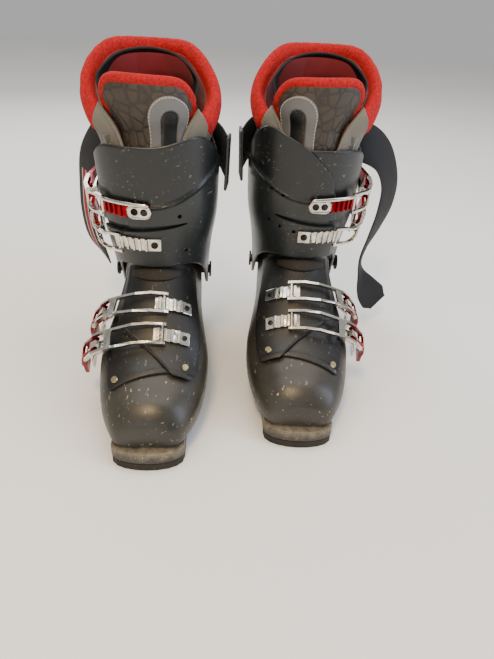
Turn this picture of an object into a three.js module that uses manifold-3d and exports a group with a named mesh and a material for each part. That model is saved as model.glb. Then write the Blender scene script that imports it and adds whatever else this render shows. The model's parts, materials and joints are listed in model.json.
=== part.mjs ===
// A pair of four-buckle alpine ski boots, standing side by side with the toes towards -Y.
// Millimetres, +Z up, origin on the floor under the middle of the pair.
// One boot is modelled as the right boot, with its outer (buckle) side towards -X, and mirrored for the left.
import * as THREE from "three";
import { mergeVertices } from "three/addons/utils/BufferGeometryUtils.js";
import Module from "manifold-3d";

const wasm = await Module();
wasm.setup();

// Driving dimensions
const soleLength = 305;
const forefootWidth = 107;
const throatHeight = 153; // top of the lower shell, at the front
const shellWall = 4.5;
const lugWidth = 68;
const toeLugHeight = 19;
const heelLugHeight = 30;
const solePlate = 8; // thickness of the screwed-on sole plates
const cuffWall = 3.4;
const cuffHeight = 260; // floor to the front edge of the cuff
const spoilerRise = 22; // how far the back of the cuff stands above its front
const cuffHalfWidth = 61;
const cuffDepth = 133;
const pivotFromHeel = 80;
const ankleFromHeel = 153.1; // the front of the ankle opening, from the heel
const pivotHeight = 98;
const pivotRadius = 5;
const pivotClearance = 0.5;
const linerThickness = 8;
const collarRise = 73; // the top of the liner at the back, above the cuff
const tongueRise = 50; // the top of the tongue, above the cuff
const tongueThickness = 9;
const flapThickness = 1.8;
const flapGap = 1.1; // between the flaps, and between a flap and the shell
const pieceGap = 0.4; // between pieces that touch
const buckleWidth = 15; // a lever, across
const railWidth = 2.6;
const pinRadius = 1.2;
const pinClearance = 0.35;
const strapWidth = 42;
const strapThickness = 1.8;
const strapGap = 2.2; // between the strap and the cuff
const strapFrom = 1.4; // where the strap starts on the inner side, as an angle from the front
const strapTo = 2.45; // and where it leaves the cuff on the outer side
const pullLoopWidth = 19;

// How the pair stands: centre to centre, how far back the left boot is, and each boot's turn
const bootSpacing = 148;
const leftBootBack = 41;
const rightBootTurn = THREE.MathUtils.degToRad(3.9);
const leftBootTurn = THREE.MathUtils.degToRad(1.1);

const collarHeight = cuffHeight + collarRise;
const tongueHeight = cuffHeight + tongueRise;
const toeY = -soleLength / 2;
const heelY = soleLength / 2;
const pivot = new THREE.Vector3(0, heelY - pivotFromHeel, pivotHeight);

// Meshes and solids

function geometryOf(points, triangles) {
  const geometry = new THREE.BufferGeometry();
  const numbers = points.flatMap((p) => [p.x, p.y, p.z]);
  geometry.setAttribute("position", new THREE.Float32BufferAttribute(numbers, 3));
  geometry.setIndex(triangles);
  return geometry;
}

function signedVolume(points, triangles) {
  let sum = 0;
  for (let i = 0; i < triangles.length; i += 3) {
    const [a, b, c] = [points[triangles[i]], points[triangles[i + 1]], points[triangles[i + 2]]];
    sum += a.dot(new THREE.Vector3().crossVectors(b, c));
  }
  return sum;
}

function outwards(points, triangles) {
  if (signedVolume(points, triangles) < 0) {
    for (let i = 0; i < triangles.length; i += 3) {
      [triangles[i + 1], triangles[i + 2]] = [triangles[i + 2], triangles[i + 1]];
    }
  }
  return geometryOf(points, triangles);
}

// A closed body through a row of closed rings, with a flat fan over each end.
function loft(rings) {
  const count = rings[0].length;
  const points = rings.flat();
  const triangles = [];
  for (let i = 0; i + 1 < rings.length; i++) {
    for (let j = 0; j < count; j++) {
      const a = i * count + j;
      const b = i * count + ((j + 1) % count);
      triangles.push(a, b, b + count, a, b + count, a + count);
    }
  }
  for (const [ring, flip] of [[0, false], [rings.length - 1, true]]) {
    const centre = points.length;
    const middle = rings[ring].reduce((sum, p) => sum.add(p), new THREE.Vector3()).divideScalar(count);
    points.push(middle);
    for (let j = 0; j < count; j++) {
      const a = ring * count + j;
      const b = ring * count + ((j + 1) % count);
      triangles.push(centre, flip ? a : b, flip ? b : a);
    }
  }
  return outwards(points, triangles);
}

// A plate between two faces of a grid: at(i, j, side) gives the points, side 0 inner and 1 outer.
function plate(columns, rows, at) {
  const points = [];
  const number = (i, j, side) => (side * (columns + 1) + i) * (rows + 1) + j;
  for (let side = 0; side < 2; side++) {
    for (let i = 0; i <= columns; i++) {
      for (let j = 0; j <= rows; j++) points.push(at(i / columns, j / rows, side));
    }
  }
  const triangles = [];
  const quad = (a, b, c, d) => triangles.push(a, b, c, a, c, d);
  for (let i = 0; i < columns; i++) {
    for (let j = 0; j < rows; j++) {
      quad(number(i, j, 0), number(i, j + 1, 0), number(i + 1, j + 1, 0), number(i + 1, j, 0));
      quad(number(i, j, 1), number(i + 1, j, 1), number(i + 1, j + 1, 1), number(i, j + 1, 1));
    }
    quad(number(i, 0, 0), number(i + 1, 0, 0), number(i + 1, 0, 1), number(i, 0, 1));
    quad(number(i, rows, 0), number(i, rows, 1), number(i + 1, rows, 1), number(i + 1, rows, 0));
  }
  for (let j = 0; j < rows; j++) {
    quad(number(0, j, 0), number(0, j, 1), number(0, j + 1, 1), number(0, j + 1, 0));
    quad(number(columns, j, 0), number(columns, j + 1, 0), number(columns, j + 1, 1), number(columns, j, 1));
  }
  return outwards(points, triangles);
}

function solid(geometry) {
  const bare = geometry.clone();
  for (const name of Object.keys(bare.attributes)) if (name !== "position") bare.deleteAttribute(name);
  const merged = mergeVertices(bare, 1e-3);
  return new wasm.Manifold(new wasm.Mesh({
    numProp: 3,
    vertProperties: new Float32Array(merged.attributes.position.array),
    triVerts: new Uint32Array(merged.index.array),
  }));
}

function geometryFrom(body) {
  const mesh = body.getMesh();
  const geometry = new THREE.BufferGeometry();
  const stride = mesh.numProp;
  const position = new Float32Array(mesh.numVert * 3);
  for (let i = 0; i < mesh.numVert; i++) {
    position.set(mesh.vertProperties.subarray(i * stride, i * stride + 3), i * 3);
  }
  geometry.setAttribute("position", new THREE.BufferAttribute(position, 3));
  geometry.setIndex(new THREE.BufferAttribute(new Uint32Array(mesh.triVerts), 1));
  return geometry;
}

function box(low, high) {
  const size = new THREE.Vector3().subVectors(high, low);
  const middle = new THREE.Vector3().addVectors(low, high).multiplyScalar(0.5);
  return solid(new THREE.BoxGeometry(size.x, size.y, size.z).translate(middle.x, middle.y, middle.z));
}

// A round bar along X through a point.
function barAlongX(radius, from, to, y, z, sides = 12) {
  const bar = new THREE.CylinderGeometry(radius, radius, to - from, sides).rotateZ(Math.PI / 2);
  return solid(bar.translate((from + to) / 2, y, z));
}

function smoothCurve(list) {
  return new THREE.CatmullRomCurve3(list.map((v) => new THREE.Vector3(...v)), false, "catmullrom", 0.5);
}

// A smooth curve through a list of number triples, by share of the way along the list; past 1 it runs straight on.
function through(list) {
  const curve = smoothCurve(list);
  const end = curve.getPoint(1);
  const slope = end.clone().sub(curve.getPoint(0.99)).multiplyScalar(100);
  return (share) => (share > 1 ? end.clone().addScaledVector(slope, share - 1) : curve.getPoint(Math.max(0, share)));
}

// Surfaces: each is a function (along, round) giving a point, and offsetPoint moves off it along its normal

function frameAt(surface, along, round) {
  const step = 1e-3;
  const point = surface(along, round);
  const up = surface(along + step, round).sub(point).normalize();
  const across = surface(along, round + step).sub(surface(along, round - step)).normalize();
  const normal = new THREE.Vector3().crossVectors(across, up).normalize();
  return { point, up, across, normal };
}

function offsetPoint(surface, along, round, off) {
  const { point, normal } = frameAt(surface, along, round);
  return point.addScaledVector(normal, off);
}

// Lower shell: sections from the toe, fanning round the heel to the ankle opening.
// Each line is top [share of sole length, share of throat height, half width] and bottom [share, share, squareness].
const shellSections = [
  { top: [0.031, 0.235, 0.110], bottom: [0.031, 0.130, 2.0] },
  { top: [0.041, 0.300, 0.262], bottom: [0.035, 0.066, 2.5] },
  { top: [0.084, 0.378, 0.352], bottom: [0.074, 0.052, 2.7] },
  { top: [0.152, 0.430, 0.432], bottom: [0.146, 0.052, 3.0] },
  { top: [0.238, 0.510, 0.484], bottom: [0.244, 0.052, 3.4] },
  { top: [0.310, 0.614, 0.500], bottom: [0.352, 0.065, 4.0] },
  { top: [0.375, 0.716, 0.467], bottom: [0.484, 0.070, 4.0] },
  { top: [0.431, 0.791, 0.430], bottom: [0.648, 0.062, 4.0] },
  { top: [0.470, 0.859, 0.407], bottom: [0.828, 0.052, 3.5] },
  { top: [0.489, 0.902, 0.400], bottom: [0.960, 0.085, 3.0] },
  { top: [0.495, 0.941, 0.400], bottom: [0.982, 0.330, 2.6] },
  { top: [0.497, 0.974, 0.400], bottom: [0.966, 0.555, 2.3] },
  { top: [0.498, 1.000, 0.400], bottom: [0.946, 0.750, 2.2] },
];
const topSquareness = 2.3;
const ankleShare = 0.498; // the shares before this one stretch with the sole, and the ones behind it keep the heel's size
const ankleFront = heelY - ankleFromHeel;

function lengthwise(share) {
  if (share < ankleShare) return THREE.MathUtils.lerp(toeY, ankleFront, share / ankleShare);
  return THREE.MathUtils.lerp(ankleFront, heelY, (share - ankleShare) / (1 - ankleShare));
}

const placed = ([share, rise, last], scale) => [lengthwise(share), rise * throatHeight, last * scale];
const shellTop = through(shellSections.map((line) => placed(line.top, forefootWidth)));
const shellBottom = through(shellSections.map((line) => placed(line.bottom, 1)));

// round is the angle from the top centre line, positive towards the inner side of the foot.
function shellSurface(along, round) {
  const top = shellTop(along);
  const bottom = shellBottom(along);
  const lift = Math.cos(round);
  const squareness = lift > 0 ? topSquareness : bottom.z;
  const x = top.z * Math.sign(Math.sin(round)) * Math.sqrt(Math.max(0, 1 - Math.abs(lift) ** squareness));
  const share = (1 + lift) / 2;
  const y = THREE.MathUtils.lerp(bottom.x, top.x, share);
  const z = THREE.MathUtils.lerp(bottom.y, top.y, share);
  return new THREE.Vector3(x, y, z);
}

function shellRing(along, off, sides) {
  const corner = (j) => offsetPoint(shellSurface, along, (j / sides) * 2 * Math.PI, off);
  return Array.from({ length: sides }, (_, j) => corner(j));
}

// A lug outline in plan: straight sides and a round end.
function lugOutline(end, from, halfWidth, endRadiusShare) {
  const way = Math.sign(end);
  const shape = new THREE.Shape();
  const depth = halfWidth * endRadiusShare;
  shape.moveTo(-halfWidth, from);
  shape.lineTo(-halfWidth, end - way * depth);
  for (let i = 1; i < 10; i++) {
    const turn = (i / 10) * Math.PI;
    shape.lineTo(-halfWidth * Math.cos(turn), end - way * depth + way * depth * Math.sin(turn) ** 0.8);
  }
  shape.lineTo(halfWidth, end - way * depth);
  shape.lineTo(halfWidth, from);
  return shape;
}

function slabFrom(shape, low, high) {
  const slab = new THREE.ExtrudeGeometry(shape, { depth: high - low, bevelEnabled: false });
  return solid(slab.translate(0, 0, low));
}

const toeSoleLength = 82;
const heelSoleLength = 76;
const toeOutline = lugOutline(toeY, toeY + toeSoleLength, lugWidth / 2, 0.55);
const heelOutline = lugOutline(heelY, heelY - heelSoleLength, lugWidth / 2 - 1, 0.5);

const shellSteps = 15;
const shellSides = 14;
const throatFrom = 0.39; // where the throat slot starts, by share of the shell
const throatHalfAngle = 0.42;
const boardLift = 1.3; // boot board above the floor of the shell, at its highest
const boardThickness = 5;

function shellRings(from, to, off, sides = shellSides, steps = shellSteps) {
  const rings = [];
  for (let i = 0; i <= steps; i++) {
    rings.push(shellRing(THREE.MathUtils.lerp(from, to, i / steps), off, sides));
  }
  return rings;
}

const hollow = () => solid(loft(shellRings(0.045, 1.04, -shellWall)));

// Straight walls just above a lug, so that a binding lies flat on the whole ledge.
const ledgeWall = 2.4;
const ledgeSink = 0.5; // how far those walls reach into the lug

function wallAboveLug(shell, lugTop, from, to) {
  const wall = shell.slice(lugTop + ledgeWall).extrude(ledgeWall + ledgeSink).translate([0, 0, lugTop - ledgeSink]);
  return wall.intersect(box(new THREE.Vector3(-lugWidth, from, 0), new THREE.Vector3(lugWidth, to, throatHeight)));
}

function throatSlot() {
  return plate(8, 4, (i, j, side) => {
    const along = THREE.MathUtils.lerp(throatFrom, 1.04, i);
    const round = throatHalfAngle * (2 * j - 1) * (0.55 + 0.45 * i);
    return offsetPoint(shellSurface, along, round, side ? -12 : 8);
  });
}

function lowerShell() {
  const smooth = solid(loft(shellRings(0, 1, 0)));
  const body = smooth
    .add(slabFrom(toeOutline, solePlate, toeLugHeight))
    .add(slabFrom(heelOutline, solePlate, heelLugHeight))
    .add(wallAboveLug(smooth, toeLugHeight, toeY, toeY + toeSoleLength / 2))
    .add(wallAboveLug(smooth, heelLugHeight, heelY - heelSoleLength / 2, heelY));
  return body.subtract(hollow()).subtract(solid(throatSlot())).subtract(pivotBar(pivotRadius + pivotClearance));
}

function pivotBar(radius) {
  return barAlongX(radius, -cuffHalfWidth * 1.4, cuffHalfWidth * 1.4, pivot.y, pivot.z);
}

// Throat flaps: two soft tongues of plastic that close the slot, the inner side's over the outer side's.
const flapFrom = 0.245;
const flapTo = 0.77;

function flapEdge(along, corner) {
  const rounding = Math.min(1, Math.max(0, (along - flapFrom) / corner));
  return Math.sqrt(1 - (1 - rounding) ** 2);
}

function outerSideFlap() {
  return plate(9, 6, (i, j, side) => {
    const along = THREE.MathUtils.lerp(flapFrom, flapTo, i);
    const low = -0.92 + 0.12 * i - 0.05 * (1 - flapEdge(along, 0.05));
    const high = THREE.MathUtils.lerp(0.15, 0.3, i);
    const off = flapGap + (side ? flapThickness : 0);
    return offsetPoint(shellSurface, along, THREE.MathUtils.lerp(low, high, j), off);
  });
}

function innerSideFlap() {
  return plate(9, 6, (i, j, side) => {
    const along = THREE.MathUtils.lerp(flapFrom + 0.03, flapTo, i);
    const low = THREE.MathUtils.lerp(0.42, -0.62, Math.min(1, i / 0.32));
    const round = THREE.MathUtils.lerp(low, 0.86, j);
    const off = 2 * flapGap + flapThickness + (side ? flapThickness : 0);
    return offsetPoint(shellSurface, along, round, off);
  });
}

// Cuff: level rings from the ankle to above the spoiler, as front y, back y and half width by height.
const flapStack = 2 * flapThickness + 3 * flapGap;
const ankleHalf = Math.abs(shellSurface(0.86, Math.PI / 2).x);
const ankleRoom = 4.6; // between the lower shell and the outside of the cuff at the pivots
const cuffLowEdge = new THREE.Vector3(0, pivot.y - 90.5, pivot.z + 43);
const cuffBottom = pivotHeight - 34;
const cuffTop = cuffHeight + spoilerRise + 20;
const backAt = (share) => shellBottom(share).x + ankleRoom + cuffWall;
const cuffFrontTopY = cuffLowEdge.y - 17;
const halfAtPivots = ankleHalf + ankleRoom + cuffWall;
const cuffRings = through([
  [cuffLowEdge.y + 14, backAt(0.86) + 1, halfAtPivots],
  [cuffLowEdge.y + 7, backAt(0.93) + 2, halfAtPivots],
  [cuffLowEdge.y - 1, backAt(1) + 1, THREE.MathUtils.lerp(halfAtPivots, cuffHalfWidth, 0.3)],
  [cuffLowEdge.y - 7, cuffFrontTopY + cuffDepth + 17, THREE.MathUtils.lerp(halfAtPivots, cuffHalfWidth, 0.85)],
  [cuffLowEdge.y - 12, cuffFrontTopY + cuffDepth + 7, cuffHalfWidth],
  [cuffFrontTopY, cuffFrontTopY + cuffDepth - 1, cuffHalfWidth + 1],
  [cuffFrontTopY - 3, cuffFrontTopY + cuffDepth - 7, cuffHalfWidth + 2],
]);
const cuffSquareness = 2.25;

// along is the height's share from cuffBottom to cuffTop; round is the angle from the front, positive to the inner side.
function cuffSurface(along, round) {
  const ring = cuffRings(along);
  const middle = (ring.x + ring.y) / 2;
  const half = (ring.y - ring.x) / 2;
  const cos = Math.cos(round);
  const sin = Math.sin(round);
  const spread = Math.abs(cos) ** cuffSquareness + Math.abs(sin) ** cuffSquareness;
  const reach = spread ** (-1 / cuffSquareness);
  const z = THREE.MathUtils.lerp(cuffBottom, cuffTop, along);
  return new THREE.Vector3(ring.z * reach * sin, middle - half * reach * cos, z);
}

const heightShare = (z) => (z - cuffBottom) / (cuffTop - cuffBottom);
const bump = (angle, centre, width) => Math.exp(-(((angle - centre) / width) ** 2));
const wrapped = (angle) => Math.atan2(Math.sin(angle), Math.cos(angle));

// The cuff's lower and upper edges, by angle round the leg.
function cuffLow(round) {
  const angle = Math.abs(wrapped(round));
  const front = cuffLowEdge.z;
  const back = pivotHeight + 2;
  const base = THREE.MathUtils.lerp(front, back, THREE.MathUtils.smoothstep(angle, 0.5, 1.9));
  return base - 26 * bump(angle, 1.62, 0.42);
}

function cuffHigh(round) {
  const angle = wrapped(round);
  const back = spoilerRise * THREE.MathUtils.smoothstep(Math.abs(angle), 2.0, 2.9);
  return cuffHeight + back - 24 * bump(Math.abs(angle), 1.65, 0.5) + 5 * bump(angle, 0.7, 0.4);
}

const overlapTo = 2 * Math.PI + 0.55; // end of the flap underneath, round the leg
const cuffColumns = 30;

function cuffPoint(round, share, side, extra = 0) {
  const under = THREE.MathUtils.smoothstep(round, 2 * Math.PI - 1.9, 2 * Math.PI - 1.25);
  const off = (side ? 0 : -cuffWall) - under * (cuffWall + 1.2) + (side ? extra : -extra);
  const height = THREE.MathUtils.lerp(cuffLow(round), cuffHigh(round) - 6 * under, share);
  return offsetPoint(cuffSurface, heightShare(height), round, off);
}

// flapEdge is the angle of the inner side's free edge on the front, at its foot and at its top.
function cuff(flapEdge) {
  const sheet = plate(cuffColumns, 5, (i, j, side) => {
    const edge = THREE.MathUtils.lerp(flapEdge[0], flapEdge[1], j);
    return cuffPoint(THREE.MathUtils.lerp(edge, overlapTo, i), j, side);
  });
  const slit = plate(6, 1, (i, j, side) => {
    const round = THREE.MathUtils.lerp(Math.min(...flapEdge) - 0.05, 0.55, i);
    const half = 3.2 * Math.sqrt(1 - i) + 0.3;
    const height = THREE.MathUtils.lerp(cuffLowEdge.z, cuffHeight, 0.336) + 7 * i * i + (j ? half : -half);
    return offsetPoint(cuffSurface, heightShare(height), round, side ? 3 : -cuffWall - 0.8);
  });
  return solid(sheet).subtract(solid(slit)).subtract(pivotBar(pivotRadius + pivotClearance));
}

// A cuff pivot: a wide head outside the cuff, and a shank through the cuff into the lower shell.
function cuffPivot(side) {
  const outside = Math.abs(cuffSurface(heightShare(pivotHeight), Math.PI / 2).x) + 1;
  const inside = ankleHalf - shellWall + 1;
  const shank = barAlongX(pivotRadius, inside, outside + 1, pivot.y, pivot.z);
  const head = barAlongX(pivotRadius + 4, outside, outside + 2.4, pivot.y, pivot.z);
  const body = shank.add(head);
  return side < 0 ? body.mirror([1, 0, 0]) : body;
}

// Liner: a foot part in the lower shell and a shaft in the cuff, with a gap between them that closes as the cuff flexes.
const shellFloor = throatHeight * Math.max(...shellSections.slice(1, 9).map((line) => line.bottom[1]));
const boardTop = shellFloor + shellWall + boardLift + boardThickness;
const linerRoom = 2.2; // between the liner and the shell or cuff round it
const linerFootLimit = 0.85;
const footRoom = 4.5; // between the liner and the shell round the foot
const wide = 400;

function bootBoard() {
  const inside = solid(loft(shellRings(0.06, 0.93, -shellWall - 2 * boardLift)));
  const low = new THREE.Vector3(-wide, toeY + 0.15 * soleLength, boardTop - boardThickness);
  const high = new THREE.Vector3(wide, heelY - 0.12 * soleLength, boardTop);
  return inside.intersect(box(low, high));
}

function linerFoot() {
  const above = (z) => box(new THREE.Vector3(-wide, -wide, -wide), new THREE.Vector3(wide, wide, z));
  const outside = solid(loft(shellRings(0.07, linerFootLimit, -shellWall - footRoom, 12, 12)));
  const inside = solid(loft(shellRings(0.11, linerFootLimit + 0.05, -shellWall - footRoom - linerThickness, 10, 8)));
  return outside.subtract(above(boardTop + pieceGap)).subtract(inside.subtract(above(boardTop + pieceGap + 5)));
}

// Liner shaft rings by height share from shaftBottom to collarHeight: front y, back y, half width of the outside.
const shaftBottom = pivotHeight + 26;
const underRoom = cuffWall + 1.2; // the cuff's flap underneath takes this room in front
const insideCuff = (z) => {
  const ring = cuffRings(heightShare(z));
  const room = cuffWall + linerRoom;
  return [ring.x + room + underRoom + 1.5, ring.y - room, ring.z - room - underRoom - 0.5];
};
const collarFlare = 4; // how far the collar stands out past the cuff at the sides
const collarLean = 7; // and how far it leans to the outer side
const collarThickness = 14;
const linerWaist = ankleHalf - shellWall - linerRoom - 0.8;
const shaftRingHeight = (ring) => THREE.MathUtils.lerp(shaftBottom, collarHeight, ring / 5);
const shaftRings = through([
  [cuffLowEdge.y + 29, backAt(1) - 14, linerWaist - 3],
  [cuffLowEdge.y + 16, insideCuff(shaftRingHeight(1))[1] - 3, linerWaist - 0.5],
  insideCuff(shaftRingHeight(2)),
  insideCuff(shaftRingHeight(3)),
  [cuffFrontTopY + 10, cuffFrontTopY + cuffDepth - 12, cuffHalfWidth + collarFlare],
  [cuffFrontTopY + 12, cuffFrontTopY + cuffDepth - 10, cuffHalfWidth + collarFlare - 3],
]);

function shaftSurface(along, round) {
  const ring = shaftRings(along);
  const middle = (ring.x + ring.y) / 2;
  const half = (ring.y - ring.x) / 2;
  const z = THREE.MathUtils.lerp(shaftBottom, collarHeight, along);
  const lean = -collarLean * THREE.MathUtils.smoothstep(z, cuffHeight - 5, collarHeight);
  return new THREE.Vector3(lean + ring.z * Math.sin(round), middle - half * Math.cos(round), z);
}

function linerShaft() {
  return solid(plate(20, 6, (i, j, side) => {
    const open = THREE.MathUtils.lerp(1.0, 0.82, j);
    const round = THREE.MathUtils.lerp(open, 2 * Math.PI - open, i);
    const behind = THREE.MathUtils.smoothstep(Math.abs(wrapped(round)), 0.9, 2.6);
    const low = 0.05 * (1 - behind);
    const high = THREE.MathUtils.lerp(0.69, 1, behind);
    const thick = THREE.MathUtils.lerp(linerThickness, collarThickness, THREE.MathUtils.smoothstep(j, 0.75, 0.95));
    return offsetPoint(shaftSurface, THREE.MathUtils.lerp(low, high, j), round, side ? 0 : -thick);
  }));
}

// Tongue: a padded blade inside the liner's front edges.
const tongueBottom = cuffLowEdge.z + 18;
const tongueHalfAngle = 0.98;

function linerTongue() {
  const shareAt = (z) => (z - shaftBottom) / (collarHeight - shaftBottom);
  return solid(plate(8, 6, (i, j, side) => {
    const round = THREE.MathUtils.lerp(0.75, tongueHalfAngle, j) * (2 * i - 1);
    const z = THREE.MathUtils.lerp(tongueBottom, tongueHeight - 26 * (2 * i - 1) ** 4, j);
    const off = -Math.max(linerThickness, collarThickness * THREE.MathUtils.smoothstep(j, 0.45, 0.75)) - 2;
    return offsetPoint(shaftSurface, shareAt(z), round, off - (side ? 0 : tongueThickness));
  }));
}

// A flat band along a list of points, each [x, y, z, wx, wy, wz] with w the direction across the band.
function band(points, width, thickness, steps) {
  const curve = smoothCurve(points.map((p) => p.slice(0, 3)));
  const turn = smoothCurve(points.map((p) => p.slice(3)));
  const rings = [];
  for (let i = 0; i <= steps; i++) {
    const middle = curve.getPoint(i / steps);
    const along = curve.getTangent(i / steps);
    const across = turn.getPoint(i / steps);
    across.addScaledVector(along, -across.dot(along)).normalize();
    const face = new THREE.Vector3().crossVectors(along, across);
    const corner = ([a, b]) => middle.clone()
      .addScaledVector(across, (a * width) / 2)
      .addScaledVector(face, (b * thickness) / 2);
    rings.push([[-1, -1], [1, -1], [1, 1], [-1, 1]].map(corner));
  }
  return solid(loft(rings));
}

// Pull loop: a webbing arch across the liner's opening, sewn inside its two sides.
function pullLoop() {
  const half = shaftRings(0.8).z - collarThickness - 7;
  const side = (sign) => sign * half - collarLean * 0.6;
  const low = collarHeight - 64;
  const middleY = pivot.y - 32.5;
  return band([
    [side(-1) + 9, middleY - 14, low, 0.1, 1, 0],
    [side(-1) + 3, middleY - 12, low + 26, 0.2, 1, 0],
    [side(-0.93), middleY - 8, collarHeight - 24, 0.25, 1, 0],
    [side(-0.6), middleY, collarHeight - 9, 0, 1, -0.15],
    [side(0), middleY + 6, collarHeight - 5, 0, 1, -0.25],
    [side(0.6), middleY, collarHeight - 9, 0, 1, -0.15],
    [side(0.93), middleY - 8, collarHeight - 24, -0.25, 1, 0],
    [side(1) - 3, middleY - 12, low + 26, -0.2, 1, 0],
    [side(1) - 9, middleY - 14, low, -0.1, 1, 0],
  ], pullLoopWidth, 2, 24);
}

// Buckles. A path runs over a surface from the inner side to the outer side; a is the distance along it from the
// middle of the front, negative towards the outer side, b is up and c is off the surface.

function pathOver(surface, along) {
  const marks = [];
  const steps = 240;
  const span = 2.6;
  let length = 0;
  for (let i = 0; i <= steps; i++) {
    const round = span * (i / steps);
    if (i) length += surface(along, -round).distanceTo(surface(along, -span * ((i - 1) / steps)));
    marks.push([length, round]);
  }
  const roundAt = (a) => {
    const far = Math.abs(a);
    const k = Math.max(1, marks.findIndex(([mark]) => mark >= far));
    const [before, after] = [marks[k - 1], marks[k]];
    const share = (far - before[0]) / (after[0] - before[0]);
    return Math.sign(a) * THREE.MathUtils.lerp(before[1], after[1], share);
  };
  return (a) => frameAt(surface, along, roundAt(a));
}

// Near its hinge a buckle keeps to the plane square to the hinge's axis, so that it turns freely; further along it
// follows the surface.
function buckleSpace(path, base, hinge) {
  const acrossAt = ({ up, normal }) => {
    const ahead = new THREE.Vector3().crossVectors(normal, up);
    return ahead.cross(normal);
  };
  const start = path(hinge);
  const axis = acrossAt(start);
  return ({ a, b, c }) => {
    const place = path(a);
    const free = THREE.MathUtils.smoothstep(a, hinge + 12, hinge + 42);
    const slide = place.point.clone().sub(start.point).dot(axis) * (1 - free);
    const across = axis.clone().lerp(acrossAt(place), free).normalize();
    const out = place.normal.clone().addScaledVector(axis, -place.normal.dot(axis) * (1 - free)).normalize();
    return place.point.addScaledVector(axis, -slide).addScaledVector(across, b).addScaledVector(out, c + base);
  };
}

// A bar in buckle coordinates: line is [a, c low, c high] from end to end, between two b values. Long steps are
// split, so that the bar follows the surface.
function rail(at, line, low, high) {
  const stations = [line[0]];
  for (let i = 1; i < line.length; i++) {
    const [from, to] = [line[i - 1], line[i]];
    const parts = Math.max(1, Math.ceil(Math.abs(to[0] - from[0]) / longestStep));
    for (let k = 1; k <= parts; k++) {
      stations.push(from.map((value, n) => THREE.MathUtils.lerp(value, to[n], k / parts)));
    }
  }
  return solid(loft(stations.map(([a, bottom, top]) => [
    at({ a, b: low, c: bottom }), at({ a, b: high, c: bottom }), at({ a, b: high, c: top }), at({ a, b: low, c: top }),
  ])));
}

// A round pin across the buckle.
function pin(at, a, c, radius, low, high, sides = 6) {
  const centre = at({ a, b: 0, c });
  const across = at({ a, b: 1, c }).sub(centre);
  const out = at({ a, b: 0, c: c + 1 }).sub(centre);
  const ahead = new THREE.Vector3().crossVectors(across, out);
  return solid(loft([low, high].map((b) => Array.from({ length: sides }, (_, k) => {
    const turn = (k / sides) * 2 * Math.PI;
    return centre.clone().addScaledVector(across, b)
      .addScaledVector(ahead, radius * Math.cos(turn)).addScaledVector(out, radius * Math.sin(turn));
  }))));
}

const longestStep = 13;
const toothPitch = 6;
const ladderBase = 1.6;
const toothHeight = 1.8;
const toothShare = 0.42; // of the pitch; the rest is the valley
const valley = (end, plateLength, tooth) => end - plateLength - toothPitch * (tooth + (1 + toothShare) / 2);

// The toothed ladder: a flat end carries its screw, and the teeth lead towards the lever.
function ladder(at, end, teeth, plateLength) {
  const line = [[end, 0, ladderBase + 0.8], [end - plateLength, 0, ladderBase + 0.8]];
  for (let k = 0; k < teeth; k++) {
    const from = end - plateLength - k * toothPitch;
    line.push([from - 0.5, 0, ladderBase + toothHeight]);
    line.push([from - toothPitch * toothShare, 0, ladderBase + toothHeight]);
    line.push([from - toothPitch * toothShare - 0.4, 0, ladderBase]);
    line.push([from - toothPitch + 0.1, 0, ladderBase]);
  }
  const half = buckleWidth / 2 - 1;
  return rail(at, line, -half, half);
}

const hingeLift = 7; // lever hinge above the surface
const bailBack = 10; // bail pin behind the lever hinge, closed
const bailLift = 2;
const cheek = 2.6;
const bailSteps = 4;

function buckleBase(at, hinge) {
  const half = buckleWidth / 2 - 1;
  const foot = rail(at, [[hinge + 8, 0, 2], [hinge - 8, 0, 2], [hinge - 20, 0, 2], [hinge - 32, 0, 2]], -half, half);
  const knuckle = half - cheek - pieceGap;
  const postLine = [[hinge + 3.6, 0.5, hingeLift - 1], [hinge + 3, 0.5, hingeLift + 3],
    [hinge - 3, 0.5, hingeLift + 3], [hinge - 3.6, 0.5, hingeLift - 1]];
  const post = rail(at, postLine, -knuckle, knuckle);
  return foot.add(post).subtract(pin(at, hinge, hingeLift, pinRadius + pinClearance, -knuckle - 2, knuckle + 2));
}

function lever(at, hinge, length) {
  const half = buckleWidth / 2;
  const inner = half - cheek;
  const top = hingeLift + bailLift;
  const cheekLine = [[hinge + 3, hingeLift - 2, hingeLift + 2], [hinge, hingeLift - 3.2, top + 1.5],
    [hinge - bailBack, top - 3.4, top + 3], [hinge - bailBack - 7, top - 2, top + 3]];
  const handleLine = [[hinge - bailBack - 4.6, top - 0.6, top + 3], [hinge - bailBack - 12, top - 1, top + 3],
    [hinge - length * 0.7, top - 1.5, top + 2.2], [hinge - length, top - 0.5, top + 3.4]];
  const handle = rail(at, handleLine, -half, half);
  let body = handle.add(rail(at, cheekLine, inner, half)).add(rail(at, cheekLine, -half, -inner));
  body = body.add(pin(at, hinge, hingeLift, pinRadius, -half + 0.5, half - 0.5));
  return body.subtract(pin(at, hinge - bailBack, top, pinRadius + pinClearance, -half - 2, half + 2));
}

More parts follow.
